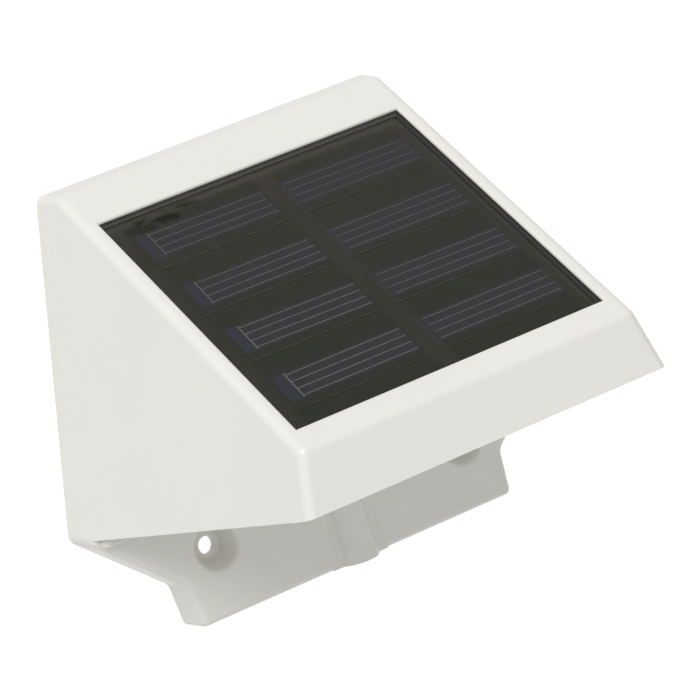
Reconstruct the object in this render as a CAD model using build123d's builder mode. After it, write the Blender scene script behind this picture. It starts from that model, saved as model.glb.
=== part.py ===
from build123d import *
from math import atan2, cos, pi, radians, sin, sqrt, tan

# Solar dock light: a wedge with a solar panel on its slope, a lamp under it and a tab that takes two
# wall screws. Millimetres. The origin is on the wall plane, midway between the two screws. +X is to the
# right seen from the front, +Y points into the wall and +Z is up.

# Housing, side profile
SLOPE = radians(36.0)
BEZEL_LENGTH = 100.0
BEZEL_WIDTH = 87.4
SPLAY = radians(17.2)
STRIP_DEPTH = 7.8
STRIP_RISE = 0.5
FRONT_HEIGHT = 14.2
FRONT_DRAFT = radians(3.0)
UNDERSIDE_Z = 14.7
UNDERSIDE_FALL = 2.5
WALL = 2.5
EDGE_R = 2.4
CREASE_R = 0.9

# Mounting tab
TAB_DEPTH = 10.1
TAB_BOTTOM_Z = -16.6
TAB_SHOULDER_Z = -6.1
TAB_SHOULDER_HALF = 44.1
TAB_BOTTOM_HALF = 43.3
SHOULDER_R = 2.6
TAB_CORNER_R = 1.3
TAB_EDGE_R = 2.0
CORNER_R = 3.0
RIB_R = 4.7
RIB_SINK = 0.7
RIB_FOOT_R = 1.4
RIB_TOP_GAP = 0.4
WEB_T = 3.0

# Wall screws, No. 8 pan heads in dished seats
SCREW_SPACING = 68.0
SCREW_HOLE_R = 2.15
DISH_R = 5.6
DISH_FLOOR_R = 3.2
DISH_DEPTH = 5.1
HOLE_WALL = 2.2
BOSS_WALL = 2.0
BOSS_BORE_R = 4.0
DISH_EDGE_R = 1.4

# Solar panel, cast on a board, with eight cell strips
PANEL_MARGIN = 3.7
PANEL_START = 13.0
PANEL_GAP = 0.3
PANEL_SUNK = 0.6
PANEL_COVER_T = 1.2
CELL_T = 0.25
PANEL_BOARD_T = 1.6
PANEL_GASKET_T = 0.8
PANEL_LEDGE = 4.0
FRAME_T = 6.4
CELL_WIDTH = 12.6
CELL_ROWS = 4
CELL_SPLIT = 4.4
CELL_SIDE = 3.8
CELL_FIRST = 12.55
LIP_R = 0.7

# Bottom cover and its seat
LEDGE_Z = 21.2
LEDGE_T = 2.0
LEDGE_W = 3.5
SEAL_T = 1.2
SEAL_W = 2.0
SEAL_OUTER = 3.0
COVER_T = 3.0
COVER_GAP = 0.4
LIP_Z = 9.9
LIP_T = 2.5
LIP_INSET = 1.4
LIP_EDGE_R = 0.6
SEAT_R = 3.2
SEAT_WEB_T = 2.0
SEAT_HEIGHT = 10.0
SEAT_INSET = 9.6
REAR_SEATS_Y = -20.5
FRONT_SEATS_Y = -78.5
M3_R = 1.45
M3_HOLE_R = 1.5
M3_CLEAR_R = 1.7
M3_HEAD_R = 2.7
M3_HEAD_T = 1.8
M3_LENGTH = 8.0
HEAD_CLEAR = 0.3
HOLE_SPARE = 1.0
SLOT_W = 0.8

# Battery holder, two AA cells side by side
CELL_R = 7.1
CELL_EDGE_R = 0.6
BODY_LENGTH = 49.2
NUB_R = 2.75
NUB_LENGTH = 1.1
BATTERY_Y = -31.5
BATTERY_PITCH = 14.8
SPRING_LENGTH = 7.9
BAY_HEIGHT = 15.0
BOX_WALL = 1.5
BAY_CLEAR = 0.4
PLATE_SIZE = 10.0
PLATE_T = 0.4
SPRING_R = 3.2
SPRING_WIRE_R = 0.35
SPRING_TURNS = 2.5
SPRING_ENTRY = 1.5
SPRING_SAMPLES = 240
CELL_REST = 0.3
PLUG_RISE = 1.9
LUG_OFFSET = 10.5
LUG_REACH = 3.1
LUG_R = 2.4
LUG_T = 2.4
M2_R = 0.95
M2_HOLE_R = 1.0
M2_HEAD_R = 1.9
M2_HEAD_T = 1.2
M2_LENGTH = 4.6
M2_HOLE_SPARE = 0.2

# Battery door
DOOR_T = 1.4
DOOR_SEAL_T = 0.6
DOOR_RIM = 2.2
DOOR_GAP = 0.3
BOSS_GAP = 0.4
DOOR_SCREW_R = 1.6
DOOR_EAR = 4.4
DOOR_CORNER_R = 3.0
INSERT_R = 2.2
INSERT_LENGTH = 5.0
INSERT_BORE_R = 1.66
INSERT_WALL = 1.2
PLUG_CLEAR = 0.4
SEAL_INSET = 0.2

# Lamp: lens, reflector, board and four LEDs
LENS_Y = -66.0
WINDOW_X = 58.0
WINDOW_Y = 18.0
LENS_FLANGE = 3.0
LENS_FLANGE_T = 1.6
LENS_T = 1.8
LENS_WALL = 1.6
LENS_SEAL_T = 0.6
LENS_PROUD = 0.6
LENS_GAP = 0.2
LENS_RIBS = 9
LENS_RIB_R = 0.6
LENS_RIB_END = 1.5
REFLECTOR_T = 7.4
REFLECTOR_WALL = 1.0
BOWL_R = 6.4
BOWL_THROAT_R = 3.1
LED_PITCH = 13.8
LED_COUNT = 4
LED_R = 2.4
LED_FLANGE_R = 2.9
LED_FLANGE_T = 1.0
LED_HEIGHT = 5.0
LED_TIP_R = 1.6
LED_BOARD_T = 1.6
LED_BOARD_X = 76.0
LED_BOARD_Y = 15.0
POST_R = 2.3
POST_X = 34.8
POST_AHEAD = 4.9

# Control board on the back wall
CONTROL_X = 50.0
CONTROL_Z = 26.0
CONTROL_T = 1.6
CONTROL_CENTRE_Z = 61.0
CONTROL_STANDOFF = 4.0
CONTROL_SCREW_X = 21.0
STANDOFF_R = 2.6
TERMINAL = (6.0, 4.0, 4.0)
TERMINAL_Z = 51.0
TERMINAL_XS = (-17.0, -5.0, 17.0)
PANEL_TERMINAL_X = 5.0
PANEL_PADS = 30.0
CHIP = (8.0, 6.0, 1.4)
CHIP_SITE = (-9.0, 61.0)
COIL_R = 3.4
COIL_HEIGHT = 3.2
COIL_SITE = (13.5, 66.5)
CAPACITOR_R = 2.2
CAPACITOR_HEIGHT = 5.0
CAPACITOR_SITES = ((-16.5, 69.0), (-4.0, 69.0))

# Slide switch
SWITCH_INSET = 12.0
SWITCH_Y = -50.0
SWITCH_BODY = (7.0, 13.0, 6.0)
SWITCH_TRAVEL = 3.0
SLIDER_W = 2.6
SLIDER_LENGTH = 3.4
SLIDER_GAP = 0.3
SLIDER_RISE = 0.1
SLIDER_SHOE = (4.2, 5.4, 2.4)
SLIDER_PROUD = 1.5
SLIDER_GROOVES = 3
SLIDER_GROOVE = 0.4

# Leads
LEAD_R = 0.6
LEAD_CLEAR = 0.2
LEAD_PITCH = 3.0
LEAD_STUB = 9.0
ARC_SHARE = 0.45

TOUCH = 0.01
OVERCUT = 1.0

# Places worked out from the sizes above
FRONT_TOP_Z = UNDERSIDE_Z + FRONT_HEIGHT
BEZEL_TOP_Y = -STRIP_DEPTH
BEZEL_TOP_Z = FRONT_TOP_Z + BEZEL_LENGTH * sin(SLOPE)
FRONT_TOP_Y = BEZEL_TOP_Y - BEZEL_LENGTH * cos(SLOPE)
REAR_EDGE_Z = UNDERSIDE_Z - UNDERSIDE_FALL
LEDGE_TOP = LEDGE_Z + LEDGE_T
COVER_TOP = LEDGE_Z - SEAL_T
COVER_Z = COVER_TOP - COVER_T
COVER_REAR = -TAB_DEPTH - COVER_GAP
BOARD_DEPTH = PANEL_SUNK + PANEL_COVER_T + CELL_T
GASKET_DEPTH = BOARD_DEPTH + PANEL_BOARD_T
RECESS_DEPTH = GASKET_DEPTH + PANEL_GASKET_T
PANEL = BEZEL_WIDTH - 2 * PANEL_MARGIN
PANEL_MIDDLE = PANEL_START + PANEL / 2
CELL_LENGTH = (PANEL - CELL_SPLIT) / 2 - CELL_SIDE
CELL_PITCH = (PANEL - 2 * CELL_FIRST) / (CELL_ROWS - 1)
HOLE_FRONT_Y = -TAB_DEPTH + DISH_DEPTH
HOLE_REAR_Y = HOLE_FRONT_Y + HOLE_WALL
HEAD_SEAT_Z = COVER_Z + M3_HEAD_T
STANDOFF_TIP_Y = -WALL - CONTROL_STANDOFF
CONTROL_FACE_Y = STANDOFF_TIP_Y - CONTROL_T
BAY_WIDTH = BATTERY_PITCH + 2 * CELL_R + 2 * BAY_CLEAR
BAY_LENGTH = BODY_LENGTH + NUB_LENGTH + SPRING_LENGTH + 2 * PLATE_T
DOOR_SCREW_X = BAY_LENGTH / 2 + BOX_WALL + BOSS_GAP + INSERT_R + INSERT_WALL
DOOR_X = BAY_LENGTH + 2 * DOOR_RIM
DOOR_Y = BAY_WIDTH + 2 * DOOR_RIM
DOOR_TOP = COVER_Z + DOOR_T
RIM_Z = DOOR_TOP + DOOR_SEAL_T
CELL_Z = DOOR_TOP + PLUG_RISE + CELL_REST + CELL_R
LUG_X = BAY_LENGTH / 2 + BOX_WALL + LUG_REACH
PLATE_X = BAY_LENGTH / 2 - PLATE_T
BOSS_TOP = RIM_Z + INSERT_LENGTH + INSERT_WALL
DOOR_SCREW_LENGTH = RIM_Z + INSERT_LENGTH - COVER_Z - HEAD_CLEAR
FLANGE_Z = COVER_TOP + LENS_SEAL_T
REFLECTOR_Z = FLANGE_Z + LENS_FLANGE_T
LED_BOARD_Z = REFLECTOR_Z + REFLECTOR_T


def slope_point(along, depth=0.0):
    """(y, z) at a distance down the slope from the bezel's top edge, and a depth below the bezel."""
    y = BEZEL_TOP_Y - along * cos(SLOPE) + depth * sin(SLOPE)
    z = BEZEL_TOP_Z - along * sin(SLOPE) - depth * cos(SLOPE)
    return y, z


def slope_plane(along, depth=0.0):
    """Plane parallel to the bezel. Its local y points up the slope."""
    y, z = slope_point(along, depth)
    return Plane(origin=(0, y, z), x_dir=(1, 0, 0), z_dir=(0, -sin(SLOPE), cos(SLOPE)))


def side_x(y, z, inset=0.0):
    """Half width of the housing at (y, z), to a surface that lies inset from the outer one."""
    below = (y - BEZEL_TOP_Y) * sin(SLOPE) - (z - BEZEL_TOP_Z) * cos(SLOPE)
    return BEZEL_WIDTH / 2 + below * tan(SPLAY) - inset / cos(SPLAY)


def side_plane(side, inset=0.0):
    """Plane of one splayed side wall, facing outward."""
    return Plane(
        origin=(side * side_x(BEZEL_TOP_Y, BEZEL_TOP_Z, inset), BEZEL_TOP_Y, BEZEL_TOP_Z),
        x_dir=(0, -cos(SLOPE), -sin(SLOPE)),
        z_dir=(side * cos(SPLAY), -sin(SPLAY) * sin(SLOPE), sin(SPLAY) * cos(SLOPE)),
    )


def front_y(z, inset=0.0):
    """y of the front wall at a height, to a surface that lies inset from the outer one."""
    return FRONT_TOP_Y - (FRONT_TOP_Z - z) * tan(FRONT_DRAFT) + inset / cos(FRONT_DRAFT)


def frame_z(y):
    """Height of the underside of the thick panel frame."""
    return BEZEL_TOP_Z + (y - BEZEL_TOP_Y) * tan(SLOPE) - FRAME_T / cos(SLOPE)


def frame_corner():
    """(y, z) where the frame's underside meets the inside of the front wall."""
    y_at_zero = front_y(0.0, WALL)
    z = (frame_z(0.0) + tan(SLOPE) * y_at_zero) / (1 - tan(SLOPE) * tan(FRONT_DRAFT))
    return front_y(z, WALL), z


def floor_outline(z, rear, inset):
    """Four corners of a level outline inside the housing, at a height."""
    front = front_y(z, inset)
    half_rear = side_x(rear, z, inset)
    half_front = side_x(front, z, inset)
    return [(-half_rear, rear), (half_rear, rear), (half_front, front), (-half_front, front)]


def touches(edge, *planes):
    """True where both ends of an edge lie on each of these planes."""
    ends = [edge @ 0, edge @ 1]
    return all(abs((end - plane.origin).dot(plane.z_dir)) < TOUCH for end in ends for plane in planes)


# The tab's slanted shoulders end at the side walls' lower rear corners
SHOULDER_ANGLE = atan2(REAR_EDGE_Z - TAB_SHOULDER_Z, side_x(0, REAR_EDGE_Z) - TAB_SHOULDER_HALF)


def shoulder_plane(side):
    """Plane of one of the tab's slanted shoulders, facing down and outward."""
    return Plane(
        origin=(side * TAB_SHOULDER_HALF, 0, TAB_SHOULDER_Z),
        x_dir=(0, 1, 0),
        z_dir=(side * sin(SHOULDER_ANGLE), 0, -cos(SHOULDER_ANGLE)),
    )


def screw(shank_r, length, head_r, head_t):
    """Slotted screw along Z. Its head lies below z = 0 and its shank above."""
    with BuildPart() as body:
        with BuildSketch(Plane.XY.offset(-head_t)):
            Circle(head_r)
        extrude(amount=head_t)
        chamfer(body.edges().sort_by(Axis.Z)[0], length=head_t / 4)
        with BuildSketch(Plane.XY):
            Circle(shank_r)
        extrude(amount=length)
        chamfer(body.edges().sort_by(Axis.Z)[-1], length=shank_r / 4)
        with BuildSketch(Plane.XY.offset(-head_t)):
            Rectangle(2 * head_r, SLOT_W)
        extrude(amount=head_t / 2, mode=Mode.SUBTRACT)
    return body.part


def biarc(start, start_tangent, end, end_tangent):
    """Two arcs that leave start and reach end along the given unit tangents and meet smoothly."""
    chord = end - start
    along = chord.dot(start_tangent + end_tangent)
    spread = 2 - 2 * start_tangent.dot(end_tangent)
    reach = (sqrt(along**2 + spread * chord.dot(chord)) - along) / spread
    first = start + start_tangent * reach
    second = end - end_tangent * reach
    TangentArc(start, (first + second) / 2, tangent=start_tangent)
    TangentArc((first + second) / 2, end, tangent=second - first)


def corner_radii(points):
    """Arc at each inner point of a lead: a share of its shorter run over the tangent of half its turn."""
    radii = []
    for before, here, after in zip(points, points[1:], points[2:]):
        incoming = Vector(*here) - Vector(*before)
        outgoing = Vector(*after) - Vector(*here)
        half_turn = radians(incoming.get_angle(outgoing) / 2)
        radii.append(ARC_SHARE * min(incoming.length, outgoing.length) / tan(half_turn))
    return radii


def least_gap(points, apart, width):
    """Least free space between stretches of a tube that lie at least some points apart along it."""
    pairs = ((a, b) for i, a in enumerate(points) for b in points[i + apart :])
    return min((a - b).length for a, b in pairs) - width


def write(part, name):
    """Labels a finished piece and writes it as one STEP file."""
    part.label = name
    export_step(part, f"parts/{name}.step")


BEZEL_PLANE = slope_plane(0.0)
FRONT_PLANE = Plane(
    origin=(0, FRONT_TOP_Y, FRONT_TOP_Z), x_dir=(1, 0, 0), z_dir=(0, -cos(FRONT_DRAFT), sin(FRONT_DRAFT))
)
STRIP_PLANE = Plane(
    origin=(0, BEZEL_TOP_Y, BEZEL_TOP_Z), x_dir=(1, 0, 0), z_dir=(0, -STRIP_RISE, STRIP_DEPTH)
)
TAB_FACE = Plane.XZ.offset(TAB_DEPTH)
SIDES = (-1, 1)
COVER_SCREWS = [
    (side * (side_x(y, COVER_Z) - SEAT_INSET), y) for y in (REAR_SEATS_Y, FRONT_SEATS_Y) for side in SIDES
]
SWITCH_X = side_x(SWITCH_Y, COVER_TOP) - SWITCH_INSET

# Housing: hollow under the panel, and its lower opening lies in front of the tab
with BuildPart() as cavity:
    with BuildSketch(Plane.YZ):
        with BuildLine():
            Polyline(
                (-WALL, LEDGE_TOP),
                (-WALL, frame_z(-WALL)),
                frame_corner(),
                (front_y(0.0, WALL), 0.0),
                (-TAB_DEPTH, 0.0),
                (-TAB_DEPTH, LEDGE_Z),
                (-TAB_DEPTH - LEDGE_W, LEDGE_Z),
                (-TAB_DEPTH - LEDGE_W, LEDGE_TOP),
                close=True,
            )
        make_face()
    extrude(amount=BEZEL_WIDTH, both=True)
    for side in SIDES:
        split(bisect_by=side_plane(side, WALL), keep=Keep.BOTTOM)

# Ledge round the inside of the side walls and the front wall, which the cover's seal meets
with BuildPart() as ledge:
    with BuildSketch(Plane.XY.offset(LEDGE_Z)):
        with BuildLine():
            Polyline(*floor_outline(LEDGE_TOP, -TAB_DEPTH, WALL * 0.7), close=True)
        make_face()
        with BuildLine():
            Polyline(*floor_outline(LEDGE_TOP, -TAB_DEPTH - LEDGE_W, WALL + LEDGE_W), close=True)
        make_face(mode=Mode.SUBTRACT)
    extrude(amount=LEDGE_T)


def tab_outline(inset, top):
    """Right half of the tab's outline, from the middle of its top, which is cut level, to the bottom."""
    slant = tan(SHOULDER_ANGLE)
    shoulder_x = TAB_SHOULDER_HALF - inset
    shoulder_z = TAB_SHOULDER_Z + inset / cos(SHOULDER_ANGLE) - inset * slant
    return [
        (0, top),
        (shoulder_x + (top - shoulder_z) / slant, top),
        (shoulder_x, shoulder_z),
        (TAB_BOTTOM_HALF - inset, TAB_BOTTOM_Z + inset),
        (0, TAB_BOTTOM_Z + inset),
    ]


# Tray behind the tab, open towards the wall
with BuildPart() as tray:
    with BuildSketch(Plane.XZ):
        with BuildLine():
            Polyline(*tab_outline(WALL, LEDGE_Z), close=True)
        make_face()
        mirror(about=Plane.YZ)
        with Locations((0, LEDGE_Z / 2)):
            Rectangle(WEB_T, 4 * LEDGE_Z, mode=Mode.SUBTRACT)
    extrude(amount=TAB_DEPTH - WALL)
    for side in SIDES:
        split(bisect_by=side_plane(side, WALL), keep=Keep.BOTTOM)

# Screw seat round the Y axis: a dish for the head, a hole for the shank and a wider bore behind it
with BuildPart() as screw_seat:
    with BuildSketch(Plane.XY):
        with BuildLine():
            Polyline(
                (0, OVERCUT),
                (BOSS_BORE_R, OVERCUT),
                (BOSS_BORE_R, HOLE_REAR_Y),
                (SCREW_HOLE_R, HOLE_REAR_Y),
                (SCREW_HOLE_R, HOLE_FRONT_Y),
                (DISH_FLOOR_R, HOLE_FRONT_Y),
                (DISH_R, -TAB_DEPTH),
                (DISH_R, -TAB_DEPTH - OVERCUT),
                (0, -TAB_DEPTH - OVERCUT),
                close=True,
            )
        make_face()
    revolve(axis=Axis.Y)

# Seats of the bottom cover's screws, each webbed to the side wall above the seal
with BuildPart() as seats:
    with BuildSketch(Plane.XY.offset(COVER_TOP)):
        with Locations(*COVER_SCREWS):
            Circle(SEAT_R)
    extrude(amount=SEAT_HEIGHT)
    for x, y in COVER_SCREWS:
        reach = side_x(y, LEDGE_Z) - abs(x)
        with BuildSketch(Plane.XY.offset(LEDGE_Z)):
            with Locations((x + (reach if x > 0 else -reach) / 2, y)):
                Rectangle(reach, SEAT_WEB_T)
        extrude(amount=COVER_TOP + SEAT_HEIGHT - LEDGE_Z)
    for side in SIDES:
        split(bisect_by=side_plane(side, WALL / 2), keep=Keep.BOTTOM)
    with BuildSketch(Plane.XY.offset(COVER_TOP)):
        with Locations(*COVER_SCREWS):
            Circle(M3_HOLE_R)
    extrude(amount=HEAD_SEAT_Z + M3_LENGTH + HOLE_SPARE - COVER_TOP, mode=Mode.SUBTRACT)

with BuildPart() as housing:
    with BuildSketch(Plane.YZ):
        with BuildLine():
            Polyline(
                (0, BEZEL_TOP_Z + STRIP_RISE),
                (BEZEL_TOP_Y, BEZEL_TOP_Z),
                (FRONT_TOP_Y, FRONT_TOP_Z),
                (front_y(UNDERSIDE_Z), UNDERSIDE_Z),
                (-TAB_DEPTH, REAR_EDGE_Z),
                (0, REAR_EDGE_Z),
                close=True,
            )
        make_face()
    extrude(amount=BEZEL_WIDTH, both=True)
    with BuildSketch(Plane.XZ) as tab_face:
        with BuildLine():
            Polyline(*tab_outline(0, REAR_EDGE_Z + WALL), close=True)
        make_face()
        mirror(about=Plane.YZ)
        shoulders = tab_face.vertices().filter_by(lambda v: abs(v.Y - TAB_SHOULDER_Z) < TOUCH)
        fillet(shoulders, radius=SHOULDER_R)
    extrude(amount=TAB_DEPTH)
    for side in SIDES:
        split(bisect_by=side_plane(side), keep=Keep.BOTTOM)
    rounded = [
        edge
        for edge in housing.edges()
        for side in SIDES
        for other in (BEZEL_PLANE, FRONT_PLANE, STRIP_PLANE)
        if touches(edge, side_plane(side), other)
    ]
    rounded += [edge for edge in housing.edges() if touches(edge, BEZEL_PLANE, FRONT_PLANE)]
    fillet(rounded, radius=EDGE_R)
    fillet([edge for edge in housing.edges() if touches(edge, BEZEL_PLANE, STRIP_PLANE)], radius=CREASE_R)
    corners = [
        edge
        for edge in housing.edges()
        for side in SIDES
        if touches(edge, side_plane(side), shoulder_plane(side))
    ]
    fillet(corners, radius=CORNER_R)
    tab_rim = [
        edge
        for edge in housing.edges()
        if touches(edge, TAB_FACE)
        and edge.center().Z < REAR_EDGE_Z - TOUCH
        and abs(edge.center().X) > TAB_BOTTOM_HALF / 2
    ]
    fillet(tab_rim, radius=TAB_EDGE_R)
    bottom_corners = [
        edge
        for edge in housing.edges().filter_by(GeomType.LINE)
        if abs(edge.center().Z - TAB_BOTTOM_Z) < TOUCH
        and abs(abs(edge.center().X) - TAB_BOTTOM_HALF) < TOUCH
    ]
    fillet(bottom_corners, radius=TAB_CORNER_R)

    add(cavity.part, mode=Mode.SUBTRACT)
    add(tray.part, mode=Mode.SUBTRACT)
    add(ledge.part)

    # Bosses of the wall screws
    with BuildSketch(Plane.XZ):
        with Locations(*[(side * SCREW_SPACING / 2, 0) for side in SIDES]):
            Circle(DISH_R + BOSS_WALL)
    extrude(amount=TAB_DEPTH - WALL / 2)
    with Locations(*[(side * SCREW_SPACING / 2, 0, 0) for side in SIDES]):
        add(screw_seat.part, mode=Mode.SUBTRACT)
    dish_edges = housing.edges().filter_by(GeomType.CIRCLE).filter_by(
        lambda e: abs(e.radius - DISH_R) < TOUCH and abs(e.arc_center.Y + TAB_DEPTH) < TOUCH
    )
    fillet(dish_edges, radius=DISH_EDGE_R)

    # Half-round rib down the middle of the tab, with its top under the cover's lip
    with BuildSketch(Plane.XY.offset(TAB_BOTTOM_Z)) as rib_plan:
        with Locations((0, WALL / 4 - TAB_DEPTH)):
            Rectangle(2 * RIB_R + 4 * RIB_FOOT_R, WALL / 2)
        with BuildLine():
            half_round = CenterArc((0, RIB_SINK - TAB_DEPTH), RIB_R, start_angle=180, arc_size=180)
            Line(half_round @ 1, half_round @ 0)
        make_face()
        foot = rib_plan.vertices().filter_by(
            lambda v: abs(v.Y + TAB_DEPTH) < TOUCH and abs(v.X) < RIB_R
        )
        fillet(foot, radius=RIB_FOOT_R)
    extrude(amount=LIP_Z - RIB_TOP_GAP - TAB_BOTTOM_Z)

    add(seats.part)

    # Recess of the solar panel and the window under it
    with BuildSketch(slope_plane(PANEL_MIDDLE)):
        Rectangle(PANEL + 2 * PANEL_GAP, PANEL + 2 * PANEL_GAP)
    extrude(amount=-RECESS_DEPTH, mode=Mode.SUBTRACT)
    lip = housing.edges().filter_by(lambda e: touches(e, BEZEL_PLANE))
    fillet(lip.filter_by(lambda e: abs(e.length - PANEL - 2 * PANEL_GAP) < TOUCH), radius=LIP_R)
    with BuildSketch(slope_plane(PANEL_MIDDLE)):
        Rectangle(PANEL - 2 * PANEL_LEDGE, PANEL - 2 * PANEL_LEDGE)
    extrude(amount=-FRAME_T - OVERCUT, mode=Mode.SUBTRACT)

    # Standoffs of the control board on the back wall
    with BuildSketch(Plane.XZ.offset(WALL / 2)):
        with Locations(*[(side * CONTROL_SCREW_X, CONTROL_CENTRE_Z) for side in SIDES]):
            Circle(STANDOFF_R)
    extrude(amount=WALL / 2 + CONTROL_STANDOFF)
    with BuildSketch(Plane.XZ.offset(-STANDOFF_TIP_Y)):
        with Locations(*[(side * CONTROL_SCREW_X, CONTROL_CENTRE_Z) for side in SIDES]):
            Circle(M2_HOLE_R)
    extrude(amount=-CONTROL_STANDOFF, mode=Mode.SUBTRACT)

write(housing.part, "housing")

# Solar panel: a clear cast layer over eight cells on a dark board, bedded on a foam frame
cell_sites = [
    (side * (CELL_SPLIT + CELL_LENGTH) / 2, PANEL / 2 - CELL_FIRST - row * CELL_PITCH)
    for side in SIDES
    for row in range(CELL_ROWS)
]

with BuildPart() as solar_cells:
    with BuildSketch(slope_plane(PANEL_MIDDLE, BOARD_DEPTH)):
        with Locations(*cell_sites):
            Rectangle(CELL_LENGTH, CELL_WIDTH)
    extrude(amount=CELL_T)

with BuildPart() as panel_cover:
    with BuildSketch(slope_plane(PANEL_MIDDLE, BOARD_DEPTH)):
        Rectangle(PANEL, PANEL)
    extrude(amount=BOARD_DEPTH - PANEL_SUNK)
    with BuildSketch(slope_plane(PANEL_MIDDLE, BOARD_DEPTH)):
        with Locations(*cell_sites):
            Rectangle(CELL_LENGTH, CELL_WIDTH)
    extrude(amount=CELL_T, mode=Mode.SUBTRACT)

with BuildPart() as panel_board:
    with BuildSketch(slope_plane(PANEL_MIDDLE, GASKET_DEPTH)):
        Rectangle(PANEL, PANEL)
    extrude(amount=PANEL_BOARD_T)

with BuildPart() as panel_gasket:
    with BuildSketch(slope_plane(PANEL_MIDDLE, RECESS_DEPTH)):
        Rectangle(PANEL, PANEL)
        Rectangle(PANEL - 2 * PANEL_LEDGE, PANEL - 2 * PANEL_LEDGE, mode=Mode.SUBTRACT)
    extrude(amount=PANEL_GASKET_T)

write(solar_cells.part, "solar_cells")
write(panel_cover.part, "panel_cover")
write(panel_board.part, "panel_board")
write(panel_gasket.part, "panel_gasket")

# Bottom cover: a plate inside the walls, with a lip that hangs in front of the tab
LUGS = [(side * LUG_X, BATTERY_Y + side * LUG_OFFSET) for side in SIDES]
POSTS = [(side * POST_X, LENS_Y + POST_AHEAD) for side in SIDES]
DOOR_SCREWS = [(side * DOOR_SCREW_X, BATTERY_Y) for side in SIDES]

with BuildSketch(Plane.XY) as door_outline:
    with Locations((0, BATTERY_Y)):
        RectangleRounded(DOOR_X, DOOR_Y, DOOR_CORNER_R)
        SlotCenterToCenter(2 * DOOR_SCREW_X, 2 * DOOR_EAR)

with BuildSketch(Plane.XY) as rebate_outline:
    add(door_outline.sketch)
    offset(amount=DOOR_GAP)

# The lip's foot reaches out under the side walls
with BuildPart() as lip:
    with BuildSketch(Plane.XY.offset(LIP_Z)):
        with Locations((0, COVER_REAR - LIP_T / 2)):
            Rectangle(2 * BEZEL_WIDTH, LIP_T)
    extrude(amount=REAR_EDGE_Z - COVER_GAP - LIP_Z)
    for side in SIDES:
        split(bisect_by=side_plane(side, LIP_INSET), keep=Keep.BOTTOM)

with BuildPart() as bottom_cover:
    with BuildSketch(Plane.YZ):
        with BuildLine():
            Polyline(
                (COVER_REAR, LIP_Z),
                (COVER_REAR - LIP_T, LIP_Z),
                (COVER_REAR - LIP_T, COVER_Z),
                (front_y(COVER_Z, WALL + COVER_GAP), COVER_Z),
                (front_y(COVER_TOP, WALL + COVER_GAP), COVER_TOP),
                (COVER_REAR, COVER_TOP),
                close=True,
            )
        make_face()
    extrude(amount=BEZEL_WIDTH, both=True)
    for side in SIDES:
        split(bisect_by=side_plane(side, WALL + COVER_GAP), keep=Keep.BOTTOM)
    add(lip.part)
    lip_edges = bottom_cover.edges().filter_by(
        lambda e: abs(e.center().Z - LIP_Z) < TOUCH and e.center().Y < COVER_REAR - TOUCH
    )
    fillet(lip_edges, radius=LIP_EDGE_R)

    # Bosses of the door's inserts and posts of the lamp's board
    with BuildSketch(Plane.XY.offset(COVER_TOP)):
        with Locations(*DOOR_SCREWS):
            Circle(INSERT_R + INSERT_WALL)
    extrude(amount=BOSS_TOP - COVER_TOP)
    with BuildSketch(Plane.XY.offset(COVER_TOP)):
        with Locations(*POSTS):
            Circle(POST_R)
    extrude(amount=LED_BOARD_Z - COVER_TOP)

    # Opening for the cells, with a rebate below it for the door
    with BuildSketch(Plane.XY.offset(COVER_Z)):
        with Locations((0, BATTERY_Y)):
            Rectangle(BAY_LENGTH, BAY_WIDTH)
    extrude(amount=COVER_T, mode=Mode.SUBTRACT)
    with BuildSketch(Plane.XY.offset(COVER_Z)):
        add(rebate_outline.sketch)
    extrude(amount=RIM_Z - COVER_Z, mode=Mode.SUBTRACT)
    with BuildSketch(Plane.XY.offset(RIM_Z)):
        with Locations(*DOOR_SCREWS):
            Circle(INSERT_R)
    extrude(amount=INSERT_LENGTH, mode=Mode.SUBTRACT)

    # Window of the lens, slot of the slider and the screws' holes
    with BuildSketch(Plane.XY.offset(COVER_Z)):
        with Locations((0, LENS_Y)):
            Rectangle(WINDOW_X, WINDOW_Y)
        with Locations((SWITCH_X, SWITCH_Y)):
            Rectangle(SLIDER_W + 2 * SLIDER_GAP, SLIDER_LENGTH + SWITCH_TRAVEL + 2 * SLIDER_GAP)
        with Locations(*COVER_SCREWS):
            Circle(M3_CLEAR_R)
    extrude(amount=COVER_T, mode=Mode.SUBTRACT)
    with BuildSketch(Plane.XY.offset(COVER_Z)):
        with Locations(*COVER_SCREWS):
            Circle(M3_HEAD_R + HEAD_CLEAR)
    extrude(amount=HEAD_SEAT_Z - COVER_Z, mode=Mode.SUBTRACT)
    with BuildSketch(Plane.XY.offset(COVER_TOP)):
        with Locations(*LUGS):
            Circle(M2_HOLE_R)
    extrude(amount=LUG_T - M2_LENGTH - M2_HOLE_SPARE, mode=Mode.SUBTRACT)
    with BuildSketch(Plane.XY.offset(LED_BOARD_Z)):
        with Locations(*POSTS):
            Circle(M2_HOLE_R)
    extrude(amount=LED_BOARD_T - M2_LENGTH - HOLE_SPARE, mode=Mode.SUBTRACT)

SEAL_REAR = COVER_REAR - SEAL_INSET

with BuildPart() as cover_seal:
    with BuildSketch(Plane.XY.offset(COVER_TOP)):
        with BuildLine():
            Polyline(*floor_outline(LEDGE_Z, SEAL_REAR, SEAL_OUTER), close=True)
        make_face()
        with BuildLine():
            Polyline(*floor_outline(LEDGE_Z, SEAL_REAR - SEAL_W, SEAL_OUTER + SEAL_W), close=True)
        make_face(mode=Mode.SUBTRACT)
    extrude(amount=SEAL_T)

cover_screw = screw(M3_R, M3_LENGTH, M3_HEAD_R, M3_HEAD_T)
with BuildPart() as cover_screws:
    with Locations(*[(x, y, HEAD_SEAT_Z) for x, y in COVER_SCREWS]):
        add(cover_screw)

write(bottom_cover.part, "bottom_cover")
write(cover_seal.part, "cover_seal")
write(cover_screws.part, "cover_screws")

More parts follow.
